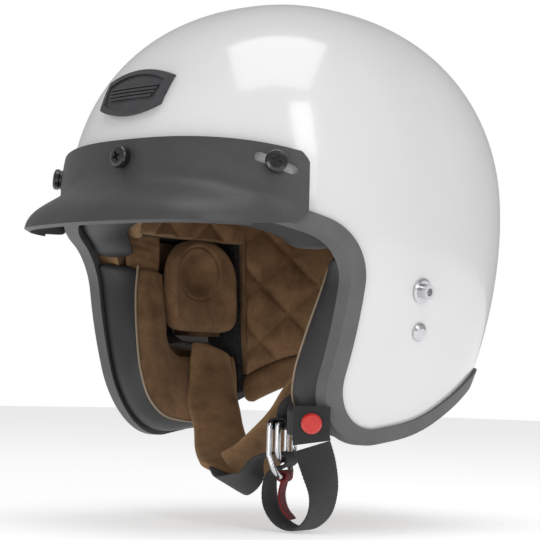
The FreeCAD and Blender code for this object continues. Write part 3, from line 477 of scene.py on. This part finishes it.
def leatherette():
    """Embossed grain: soft cells with finer pebbling, sheen worn brighter on the crowns."""
    f = Finish("leatherette", (0.03, 0.03, 0.032), 0.5, Specular_IOR_Level=0.45)
    cells = f.node("TexVoronoi", {"feature": "SMOOTH_F1"}, Vector=f.place(), Scale=1 / 1.3)
    fine = f.noise(f.place(), 0.6, 2.0)
    wear = f.noise(f.place(), 22.0, 3.0)
    f.tint((0.024, 0.025, 0.027), (0.04, 0.041, 0.043), wear)
    f.feed(Roughness=wear * 0.16 + 0.42)
    f.bump(cells * 0.8 + fine * 0.4, 0.12, 0.4)
    return f.material


def webbing(name, dark, light, rough=0.78):
    """Twill: ribs slanting across the tape every 1.1 mm from the UV map, with fibre noise."""
    f = Finish(name, light, rough, Sheen_Weight=0.15)
    ribs = f.node("TexWave", {"wave_type": "BANDS", "bands_direction": "X"},
                  Vector=f.place("UV", turn=(0, 0, math.radians(38))), Scale=0.31 / 1.1 * 3.2,
                  Distortion=0.4, Detail=1.0, output=1)
    ends = f.node("TexWave", {"wave_type": "BANDS", "bands_direction": "X"},
                  Vector=f.place("UV"), Scale=0.31 / 0.9 * 3.2, output=1)
    fibre = f.noise(f.place(), 0.7, 3.0)
    f.tint(dark, light, ribs * 0.55 + fibre * 0.35 + ends * 0.1)
    f.bump(ribs + ends * 0.5 + fibre * 0.3, 0.18, 0.7)
    return f.material


def metal(name, colour, rough, brush=0.12):
    f = Finish(name, colour, rough, Metallic=1.0)
    scuff = f.noise(f.place(stretch=(1, 1, 0.2)), 1.2, 4.0)
    f.feed(Roughness=scuff * brush + rough)
    f.tint([c * 0.8 for c in colour], colour, scuff)
    return f.material


def enamel(name, dark, light):
    f = Finish(name, light, 0.25, Coat_Weight=0.7, Coat_Roughness=0.06)
    f.tint(dark, light, f.noise(f.place(), 5.0, 3.0))
    return f.material


def thread(name, dark, light):
    f = Finish(name, light, 0.7)
    f.tint(dark, light, f.noise(f.place(), 0.6, 2.0))
    return f.material


SUEDE_DARK, SUEDE_LIGHT = (0.115, 0.058, 0.025), (0.30, 0.175, 0.085)
white = gloss_white()
rubber = trim_rubber()
plastic = peak_plastic()
badge_finish = badge_rubber()
gloss_black = black_gloss()
foam_finish = foam()
brown = suede("suede", SUEDE_DARK, SUEDE_LIGHT)
brown_strap = suede("suede_straps", (0.13, 0.07, 0.03), (0.33, 0.19, 0.09))
black = leatherette()
black_tape = webbing("webbing_black", (0.008, 0.008, 0.009), (0.032, 0.032, 0.034))
red_tape = webbing("webbing_red", (0.10, 0.004, 0.006), (0.33, 0.012, 0.02))
steel = metal("steel", (0.72, 0.72, 0.74), 0.14)
red_cap = enamel("red_snap", (0.45, 0.012, 0.01), (0.72, 0.03, 0.02))
pale_cord = thread("pale_piping", (0.20, 0.15, 0.10), (0.42, 0.34, 0.25))

# ---- hard pieces that keep their CAD shape ----------------------------------------------
for finish, nodes in (
        (white, ["outer_shell"]), (rubber, ["edge_trim"]), (plastic, ["peak"]),
        (badge_finish, ["badge", "peak_spacers"]), (gloss_black, ["peak_screws", "peak_bushes"]),
        (foam_finish, ["impact_liner"]), (brown, ["cheek_foam_left", "cheek_foam_right"]),
        (steel, ["goggle_stud_left", "goggle_stud_right", "stud_washers", "strap_rivet_left",
                 "strap_rivet_right", "anchor_plates", "peak_inserts", "snap_stud",
                 "snap_socket"]),
        (red_cap, ["snap_cap"])):
    for node in nodes:
        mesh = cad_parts[node].data
        mesh.materials.clear()
        mesh.materials.append(finish)

# ---- soft pieces inside the shell ---------------------------------------------------------

EAR_TOP, EAR_BACK = -12.0, 38.5
QUILT_PITCH, QUILT_RISE, SEAM_SINK = 40.0, 3.2, 0.6
LINING_BACK = 7.0               # how far the plain back lies outside the head space
LINING_FOOT = 0.42              # share of the lining's rows below the widest level
LINING_ROWS = 150
EAR_DISH_DEPTH, EAR_DISH_RADIUS, EAR_EDGE_ROLL, EAR_SEAM_RADIUS = 7.5, 14.5, 6.0, 19.0
PAD_END_ROUND = 5.0             # length over which a pad's ends close


def inset_at(y, z):
    """Distance of side view points inside the edge."""
    ey, ez, ny, nz = (line[::15] for line in (EDGE_Y, EDGE_Z, EDGE_NY, EDGE_NZ))
    nearest = ((y[..., None] - ey) ** 2 + (z[..., None] - ez) ** 2).argmin(axis=-1)
    return (y - ey[nearest]) * ny[nearest] + (z - ez[nearest]) * nz[nearest]


def quilt(around, height, pitch=QUILT_PITCH):
    """0 on the sewn lines, 1 in the middle of a diamond, from the distance to lines
    around + height = k pitch and around - height = k pitch."""
    low = np.ones_like(around + height)
    for line in (around + height * 1.05, around - height * 1.05):
        away = np.abs((line / pitch + 0.5) % 1 - 0.5) * pitch
        low = np.minimum(low, 1 - np.exp(-(away / 5.0) ** 1.3))
    return low


def crown_lining():
    """Dome of the head space from its lower edge to the crown, quilted towards the head by
    QUILT_RISE, with a plain back LINING_BACK further out."""
    step = math.radians(0.7)
    turn = np.arange(-math.pi / 2, 1.5 * math.pi - 1e-6, step)
    z = np.linspace(14, -105, 240)[None, :]
    lift = np.where(z < 0, z / 150, 0.06)
    spot = dome(head(), turn[:, None], np.where(z < 0, lift, 0))
    y = spot[..., 1]
    fits = (inset_at(y, z + 0 * y) > np.where(y > EAR_BACK, 19, 9)) & ((z > EAR_TOP) | (y > EAR_BACK))
    count = np.where(fits.all(axis=1), z.shape[1] - 1, (~fits).argmax(axis=1) - 1)
    foot = z[0, np.clip(count, 0, None)]
    share = np.linspace(0, 1, LINING_ROWS)[:, None]
    below = np.clip(share / LINING_FOOT, 0, 1)
    lift = np.where(share < LINING_FOOT, foot / 150 * (1 - below),
                    (share - LINING_FOOT) / (1 - LINING_FOOT))
    lift = np.where((foot > 0) & (share < LINING_FOOT), foot / 150 * 0.7 * (1 - below), lift)

    def layer(grow):
        return dome(head(grow), turn[None, :] + 0 * share, lift)
    inner = layer(0.0)
    around = turn[None, :] * 92
    height = inner[..., 2]
    puff = quilt(around, height)
    top = np.clip((height - 60) / 25, 0, 1)
    puff = puff * (1 - top) + top
    hem = np.clip(np.arange(LINING_ROWS) / 5.0, 0, 1)[:, None] ** 0.5
    inner = inner + unit(-inner * [1, 1, 0.6]) * (puff * QUILT_RISE * hem - SEAM_SINK)[..., None]
    outer = layer(LINING_BACK)
    points = np.concatenate([outer[::-1], inner])
    return make("lining_quilted", [(points, False, True, None, None)], brown, "helmet",
                ["crown_lining"])


def rim_part(inset, form, count, front_to_z=None, back_from_y=None):
    """Part of the edge line: from the brow's middle down to a height, or from a y to the nape."""
    line = edge_line(inset, form, 700)
    if front_to_z is not None:
        stop = int(np.nonzero(line[:, 2] < front_to_z)[0][0])
        keep = line[:stop + 1]
    else:
        start = int(np.nonzero((line[:, 1] > back_from_y) & (line[:, 2] < -50))[0][0])
        keep = line[start:][::-1]
    length = np.r_[0, np.cumsum(np.linalg.norm(np.diff(keep, axis=0), axis=1))]
    even = np.linspace(0, length[-1], count)
    half = np.stack([np.interp(even, length, keep[:, k]) for k in range(3)], axis=-1)
    return np.concatenate([half[::-1], mirror(half[1:])])


def rim_roll(name, inset, inset_half, forms, finish, nodes, slot, squareness=3.0, count=120,
             swell=0.0, **part):
    """Padded roll along the edge: superellipse section in inset and between two forms."""
    a, b = section(1.0, 1.0, squareness, 28)
    near, far = forms
    rings = []
    for u, v in zip(a, b):
        share = (v + 1) / 2
        rings.append(rim_part(inset + inset_half * u - swell * (1 - v * v) * (u < 0),
                              near * (1 - share) + far * share, count, **part))
    points = np.stack(rings, axis=1)
    length = np.r_[0, np.cumsum(np.linalg.norm(np.diff(points.mean(axis=1), axis=0), axis=1))]
    piece = make(name, [(ends_closed(points, PAD_END_ROUND), False, True, length, None)], finish,
                 "helmet", nodes)
    return piece


PIPING = [(83, -50, -32), (79.3, -54.6, -51), (72.6, -59, -75), (65.5, -61, -100),
          (61.8, -57, -116), (61.5, -46, -126), (65, -25, -130.5), (68, 0, -131),
          (71, 20, -127), (74, 35, -122)]
STRIP_BACK = [(85, -27, -34), (83, -26.5, -50), (80.5, -26.5, -66), (78.5, -26, -80),
              (77, -20, -88), (76, 0, -89), (75.5, 18, -88.5), (75, 35, -88)]


def leaf(name, first, second, bulge, depth, finish, nodes, side, inward, count=120,
         shape=0.7, columns=26, wrinkle=0.0):
    """Pad between two lines: p = a (1 - w) + b w + n h sin(pi w)^k, with a back moved along
    the other way and both ends rounded off."""
    w = (1 - np.cos(np.linspace(0, math.pi, columns))) / 2
    ruled = first[:, None] * (1 - w)[:, None] + second[:, None] * w[:, None]
    across = np.gradient(ruled, axis=1)
    along = np.gradient(ruled, axis=0)
    normal = unit(np.cross(along, across))
    normal = normal * np.sign((normal * inward).sum(axis=-1, keepdims=True).mean())
    rise = np.sin(math.pi * w)[None, :, None] ** shape
    front = ruled + normal * bulge * rise
    if wrinkle:
        t = np.linspace(0, 1, count)[:, None]
        front = front + normal * (wrinkle * rise[..., 0] * (np.sin(t * 23 + w * 3)
                                  + 0.6 * np.sin(t * 41 - w * 5)))[..., None]
    back = ruled - normal * depth * rise ** 0.5
    points = np.concatenate([front, back[:, -2:0:-1]], axis=1)
    if side < 0:
        points = mirror(points)
    length = np.r_[0, np.cumsum(np.linalg.norm(np.diff(first, axis=0), axis=1))]
    piece = make(name, [(ends_closed(points, PAD_END_ROUND), False, True, length, None)], finish,
                 "helmet", nodes)
    return piece


def ear_pad(name, side):
    """Arch-topped pad round the ear: rays from the pocket's middle to a superellipse outline,
    its edge rolled back, with a round dish EAR_DISH_DEPTH deep."""
    angle = np.arange(160) * 2 * math.pi / 160
    middle = np.array([-1.0, -34.0])
    centre, half = np.array([4.5, -42.0]), np.array([30.0, 30.5])
    power = np.where(np.sin(angle) > 0, 2.3, 6.0)
    edge = (np.abs(np.cos(angle)) ** power + np.abs(np.sin(angle)) ** power) ** (-1 / power)
    outline = centre + half * np.stack([np.cos(angle), np.sin(angle)], axis=-1) * edge[:, None]
    rho = np.r_[np.linspace(0, 0.9, 40), np.linspace(0.915, 1, 12)]
    flat = middle + (outline - middle) * rho[:, None, None]
    y, z = flat[..., 0], flat[..., 1]
    away = np.hypot(y - middle[0], (z - middle[1]) * 1.08)
    dish = EAR_DISH_DEPTH / (1 + np.exp((away - EAR_DISH_RADIUS) / 1.6))
    dish = dish * (1 - 0.25 * (away / 16) ** 2).clip(0)
    rolled = EAR_EDGE_ROLL * (1 - np.sqrt(np.clip(1 - ((rho - 0.86).clip(0) / 0.14) ** 2, 0, 1)))
    seam = 0.9 * np.exp(-((away - EAR_SEAM_RADIUS) / 0.9) ** 2)
    x = side_x(head(-1.5), y, z) + dish + rolled[:, None] + seam
    front = np.stack([x, y, z], axis=-1)
    back = np.stack([np.maximum(side_x(head(9.0), y, z), x), y, z], axis=-1)[::-1]
    points = np.concatenate([front, back[1:]])
    if side < 0:
        points = mirror(points)
    ending = "left" if side > 0 else "right"
    piece = make(name, [(points, False, True, None, None)], brown, "helmet",
                 ["ear_pad_" + ending])
    return piece


crown_lining()
rim_roll("neck_roll_pad", 9.3, 8.3, (head(7.5), head(-3.5)), brown, ["neck_roll"], "suede",
         back_from_y=EAR_BACK)
rim_roll("brow_band_pad", 3.9, 3.3, (shell(-7.8), head(6.0)), black, ["brow_band"],
         "leatherette", 2.6, 160, swell=1.6, front_to_z=-27.5)
rim_roll("brow_fold", 10.2, 3.4, (head(9.0), head(-1.5)), brown, [], "suede", 2.4, 160,
         front_to_z=-16.0)

for side, ending in ((1, "left"), (-1, "right")):
    start, stop = edge_place(z=-30.5), edge_place(y=36.0)
    place = np.linspace(start, stop, 120)
    y, z = edge_at(place, 1.3)
    outer = np.stack([side_x(shell(-6.7), y, z), y, z], axis=-1)
    piping, _ = smooth_line(PIPING, 120)
    back, _ = smooth_line(STRIP_BACK, 120)
    leaf("cheek_facing_pad_" + ending, outer, piping, 3.4, 6.0, black,
         ["cheek_facing_" + ending], side, [0, -1, -0.6])
    leaf("cheek_suede_" + ending, piping + [0.3, 0.8, 0.4], back, 3.0, 9.0, brown,
         ["cheek_pad_" + ending], side, [-1, 0, 0.2], shape=0.6, wrinkle=0.18)
    cord = tube(piping + [-0.3, -0.5, 0.0], 0.75)
    points = cord[0] if side > 0 else mirror(cord[0])
    make("piping_" + ending, [(points, *cord[1:])], pale_cord, "helmet")
    ear_pad("ear_cushion_" + ending, side)

FLAP_FRONT = [(95, -64, -2), (93, -63, -10), (90, -55.5, -22), (89, -54, -32), (87.5, -51, -38)]
FLAP_BACK = [(86, -29, -2), (86, -29, -12), (85.5, -29, -22), (85, -30, -32), (85, -32, -38)]
front, _ = smooth_line(FLAP_FRONT, 60)
back, _ = smooth_line(FLAP_BACK, 60)
leaf("temple_flap_right", front, back, 1.6, 1.8, brown, [], -1, [-1, 0, 0], 60,
     shape=0.5, wrinkle=0.25)
leaf("temple_flap_left", front + [-5, 12, 2], back + [-2, 6, 2], 1.6, 1.8, brown, [], 1,
     [-1, 0, 0], 60, shape=0.5)

# ---- chin strap ---------------------------------------------------------------------------

WEB_HALF, WEB_THICK = 11.0, 1.6
PICK, SCALLOP = 2.4, 0.12       # spacing and depth of the bumps along a tape's selvedges
SNAP_TAPE_HALF, TAB_HALF = 7.0, 6.0
COVER_HALF, COVER_HALF_THICK = 16.3, 3.5
WIRE = 1.75
RING_CENTRE = np.array([52.0, -56.0, -129.0])
RING_TURN = math.radians(-66)
BAR = np.array([math.cos(RING_TURN), math.sin(RING_TURN), 0.0])
OUT = np.array([-BAR[1], BAR[0], 0.0])
UP = np.array([0.0, 0.0, 1.0])
SPACING, OUTER_DEPTH, INNER_DEPTH, CORNER, HALF_BAR = 5.0, 31.5, 21.0, 7.0, 15.5
BEND, BEND_DEPTH = math.radians(20), 18.0

LEFT_COVER = [((65.6, 5, -82), (0, 0.97, -0.2)), ((63.9, 2, -92), (0, 0.9, -0.35)),
              ((59.0, -8, -97), (0, 0.7, -0.65)), ((52.6, -21, -104), (0, 0.65, -0.7)),
              ((44, -31, -116), (0, 0.75, -0.6)), ((37, -36, -129), (0, 0.83, -0.55)),
              ((28, -40, -141), (0, 0.83, -0.55)), ((17, -43, -151), (0.1, 0.83, -0.55)),
              ((5, -47, -159), (0.25, 0.83, -0.5))]
RIGHT_COVER = [((-69.5, 5, -82), (0, 1, 0)), ((-66, 2, -92), (0, 1, 0)),
               ((-58.5, -4, -104), (0.25, 0.97, 0)), ((-47.5, -13.5, -119), (0.5, 0.86, 0)),
               ((-36, -21, -131), (0.65, 0.76, 0)), ((-25.5, -28.5, -142), (0.7, 0.7, 0)),
               ((-14, -38, -153), (0.6, 0.78, -0.1)), ((-4, -46, -161), (0.4, 0.85, -0.3))]
CHIN_RUN = [((6, -53, -167), (0.3, 0.85, -0.45)), ((20, -60, -166.5), (0.1, 0.85, -0.5)),
            ((33, -63, -160), (-0.15, 0.9, -0.35))]
SHORT_RUN = [((70.6, -3, -88.5), (0, 1, 0)), ((67.0, -14.5, -97), (0.1, 0.98, -0.1)),
             ((58.8, -31.2, -107), (-0.15, 0.95, -0.1)), ((53.9, -46.2, -114.5), (-0.38, 0.92, 0)),
             ((52.6, -55.3, -120.5), (-0.407, 0.914, 0))]
TAIL_RUN = [((46, -59.5, -167), (-0.35, 0.93, 0)), ((47, -58, -178), (-0.3, 0.95, 0)),
            ((54, -55, -187.5), (-0.25, 0.96, 0)), ((67, -53, -190), (-0.15, 0.98, 0)),
            ((79, -53, -182), (-0.05, 0.99, 0)), ((85.5, -56, -168), (0.1, 0.98, 0)),
            ((86.5, -62, -153), (0.45, 0.85, 0)), ((85.7, -67.2, -141), (0.7, 0.7, 0))]
SNAP_RUN = [((59.3, -54.5, -122), (0, 0, 1)), ((62.3, -61.5, -125.5), (0, 0, 1)),
            ((68, -67.8, -128), (0, 0, 1))]
PULL_RUN = [(0, -2.6), (-1.5, -11), (0.5, -19), (5.5, -25)]


def ring_point(swing, height, along=0.0):
    return RING_CENTRE + OUT * swing + UP * height + BAR * along


def d_ring(name, swing, depth, body, bend_depth=None):
    """Wire bent to a D: bar, two legs, quarter-circle corners and a far side; below the bend
    the outer ring leans towards the inner one."""
    outline = [(a, 0.0) for a in np.linspace(HALF_BAR - 0.6, -HALF_BAR + 0.6, 24)]
    outline += [(-HALF_BAR, d) for d in np.linspace(0.6, depth - CORNER, 24)]
    for side, angles in ((-1, np.linspace(0, math.pi / 2, 10)[1:]),
                         (1, np.linspace(math.pi / 2, 0, 10)[:-1])):
        outline += [(side * (HALF_BAR - CORNER + CORNER * math.cos(a)),
                     depth - CORNER + CORNER * math.sin(a)) for a in angles]
    outline += [(HALF_BAR, d) for d in np.linspace(depth - CORNER, 0.6, 24)]
    path = []
    for along, down in outline:
        over = max(down - bend_depth, 0.0) if bend_depth else 0.0
        path.append(ring_point(swing + over * math.sin(BEND),
                               -(down - over) - over * math.cos(BEND), along))
    return make(name, [tube(path, WIRE, closed=True, cols=18)], steel, body,
                ["d_ring_" + name.split("_")[-1]])


def around_bars(centres, radius):
    """Stations of a flat loop round one or two bars: half circles joined by straights."""
    (s0, h0), (s1, h1) = centres[0], centres[-1]
    angles = np.linspace(math.pi / 2, 3 * math.pi / 2, 14)
    ring = [(s0 + radius * math.cos(a), h0 + radius * math.sin(a)) for a in angles]
    ring += [(s1 - radius * math.cos(a), h1 - radius * math.sin(a)) for a in angles]
    ring.append(ring[0])
    return [(ring_point(s, h), -BAR) for s, h in ring]


def tape(name, stations, finish, body, nodes, half_width=WEB_HALF, count=240,
         grids=()):
    """Flat webbing with slightly scalloped selvedges, one bump every PICK."""
    _, _, _, length = frames(stations, count)
    wide = half_width - SCALLOP + SCALLOP * np.sin(length * 2 * math.pi / PICK)
    return make(name, [swept(stations, count, wide, WEB_THICK / 2, 5.0, 24), *grids],
                finish, body, nodes)


def cover(name, stations, body, nodes, seam_side):
    """Padded sleeve: pillow section that swells and tucks along its length, ends rounded."""
    count = 150
    _, _, _, length = frames(stations, count)
    puff = 1 + 0.05 * np.sin(length * 0.21 + seam_side) + 0.035 * np.sin(length * 0.47)
    points, *rest = swept(stations, count, COVER_HALF + 0.5 * np.sin(length * 0.16),
                          COVER_HALF_THICK * puff, 2.5, 44, round_mm=3.0)
    path, wide, face, _ = frames(stations, count)
    a, b = section(1.0, 1.0, 2.5, 44)
    groove = 0.55 * np.exp(-((a - 0.74 * seam_side) / 0.05) ** 2) * (b > -0.2)
    points = points - face[:, None] * (groove * np.sign(b))[:, None]
    piece = make(name, [(points, *rest)], brown_strap, body, nodes)
    return piece


fold_height, fold_swing = -INNER_DEPTH, SPACING / 2
fold_radius = WIRE + 1.2 + WEB_THICK / 2
upper = [(ring_point(-14, fold_height + fold_radius - 3), -BAR),
         (ring_point(-5, fold_height + fold_radius - 0.3), -BAR),
         (ring_point(fold_swing, fold_height + fold_radius), -BAR)]
fold = [(ring_point(fold_swing + fold_radius * math.cos(a), fold_height + fold_radius * math.sin(a)),
         -BAR) for a in np.linspace(math.pi / 2, -math.pi / 2, 9)]
lower = [(ring_point(-1.5, fold_height - fold_radius - 1.2), -BAR),
         (ring_point(-5.2, fold_height - fold_radius - 4.5), -BAR)]
cover("cover_left", LEFT_COVER, "chin_strap", ["strap_cover_left"], 1)
cover("cover_right", RIGHT_COVER, "chin_strap", ["strap_cover_right"], -1)
tape("chin_webbing", RIGHT_COVER[-2:] + CHIN_RUN + upper, black_tape, "chin_strap",
     ["long_webbing"])
tape("tail_loop", fold + lower + TAIL_RUN, black_tape, "chin_strap", ["strap_tail"],
     count=420)
loop_radius = WIRE + 0.3 + WEB_THICK / 2
top = [(ring_point(0, loop_radius), -BAR)]
both = around_bars([(-SPACING / 2, 0), (SPACING / 2, 0)], loop_radius)
tape("ring_webbing", SHORT_RUN + top, black_tape, "chin_strap", ["short_webbing"],
     grids=[swept(both, 90, WEB_HALF - 0.5, WEB_THICK / 2, 5.0, 24)])

snap_turn = math.radians(-47)
snap_axis = np.array([math.cos(snap_turn), math.sin(snap_turn), 0.0])
snap_along = np.array([-snap_axis[1], snap_axis[0], 0.0])
snap_place = np.array([82.4, -64.7, -128.0])
tape("snap_tape", SNAP_RUN + [(snap_place - snap_along * 7, UP), (snap_place + snap_along * 6, UP)],
     black_tape, "chin_strap", ["snap_strap"], SNAP_TAPE_HALF, 90)
SNAP_STACK = 1.0 + 1.8 + 3 * 0.1   # stud flange, socket and the clearances between the tapes
middle = snap_place + snap_axis * (WEB_THICK + SNAP_STACK)
end_run = [(np.array(TAIL_RUN[-1][0]) + [0, -0.4, 2.0], TAIL_RUN[-1][1])]
end_run += [(middle + UP * lift, snap_along) for lift in (-8, 0, 10)]
tape("tail_end", end_run, black_tape, "snap", ["strap_tail_end"], count=90)

foot = (-SPACING / 2 + (OUTER_DEPTH - BEND_DEPTH) * math.sin(BEND),
        -BEND_DEPTH - (OUTER_DEPTH - BEND_DEPTH) * math.cos(BEND))
drop = [(ring_point(foot[0] + s, foot[1] + h), -BAR) for s, h in PULL_RUN]
tape("red_pull_tab", drop, red_tape, "tab", ["pull_tab"], TAB_HALF, 90,
     [swept(around_bars([foot], loop_radius), 60, TAB_HALF, WEB_THICK / 2, 5.0, 24)])
d_ring("ring_outer", -SPACING / 2, OUTER_DEPTH, "outer_ring", BEND_DEPTH)
d_ring("ring_inner", SPACING / 2, INNER_DEPTH, "inner_ring")

for node in ("anchor_webbing_left", "anchor_webbing_right"):
    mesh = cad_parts[node].data
    mesh.materials.clear()
    mesh.materials.append(black_tape)

# ---- floor, light and camera -------------------------------------------------------------

def stage_floor():
    """Flat pale floor just below the strap's lowest point."""
    low = min(corner[2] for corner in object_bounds())
    side = np.linspace(-4.0, 4.0, 3)
    x, y = np.meshgrid(side, side, indexing="ij")
    mesh = bpy.data.meshes.new("floor")
    verts = np.stack([x.ravel(), y.ravel(), np.full(9, low - 0.001)], axis=-1)
    faces = [(i * 3 + j, (i + 1) * 3 + j, (i + 1) * 3 + j + 1, i * 3 + j + 1)
             for i in range(2) for j in range(2)]
    mesh.from_pydata(verts.tolist(), [], faces)
    floor = bpy.data.objects.new("floor", mesh)
    bpy.context.scene.collection.objects.link(floor)
    pale = Finish("pale_floor", (0.86, 0.86, 0.86), 0.9, Emission_Strength=0.45,
                  Emission_Color=(1, 1, 1, 1))
    pale.tint((0.85, 0.85, 0.85), (0.87, 0.87, 0.87), pale.noise(pale.place(), 300.0, 2.0))
    mesh.materials.append(pale.material)
    floor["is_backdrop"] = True


def softbox(name, place, aim, width, height, power, colour=(1, 1, 1)):
    light = bpy.data.lights.new(name, "AREA")
    light.shape, light.size, light.size_y = "RECTANGLE", width, height
    light.energy, light.color = power, colour
    lamp = bpy.data.objects.new(name, light)
    bpy.context.scene.collection.objects.link(lamp)
    lamp.location = place
    lamp.rotation_euler = (Vector(aim) - Vector(place)).to_track_quat("-Z", "Y").to_euler()


def studio():
    world = bpy.data.worlds.new("studio")
    bpy.context.scene.world = world
    world.use_nodes = True
    tree = world.node_tree
    sky = tree.nodes["Background"]
    sky.inputs[0].default_value = (1.0, 1.0, 1.0, 1)
    seen = tree.nodes.new("ShaderNodeLightPath")
    level = tree.nodes.new("ShaderNodeMapRange")
    level.inputs["To Min"].default_value = 0.42     # what the helmet is lit with
    level.inputs["To Max"].default_value = 1.0      # what is seen behind it
    tree.links.new(seen.outputs["Is Camera Ray"], level.inputs["Value"])
    tree.links.new(level.outputs[0], sky.inputs[1])
    bpy.context.scene.view_settings.view_transform = "Standard"
    softbox("strip", (1.35, -0.55, 0.75), (0, 0, 0), 0.35, 1.3, 4.5)
    softbox("over", (0.2, -0.2, 1.6), (0, 0, 0), 1.2, 1.2, 8)
    softbox("front", (0.35, -1.5, -0.1), (0, 0, -0.05), 0.9, 0.7, 5, (1, 0.98, 0.95))


def camera():
    """Three-quarter view from slightly below the brow, fitted lens and roll."""
    turn, lift, roll = (math.radians(a) for a in (42.97, -3.52, 1.50))
    right = Vector((math.cos(turn), math.sin(turn), 0))
    back = Vector((math.sin(turn) * math.cos(lift), -math.cos(turn) * math.cos(lift),
                   math.sin(lift)))
    up = back.cross(right)
    tilted = math.cos(roll) * right + math.sin(roll) * up
    upright = -math.sin(roll) * right + math.cos(roll) * up
    lens = bpy.data.cameras.new("camera")
    eye = bpy.data.objects.new("camera", lens)
    bpy.context.scene.collection.objects.link(eye)
    pose = Matrix((tilted, upright, back)).transposed().to_4x4()
    pose.translation = (0.8094, -0.8834, -0.1074)
    eye.matrix_world = pose
    lens.lens, lens.sensor_width = 126.3, 36
    bpy.context.scene.camera = eye


stage_floor()
studio()
camera()
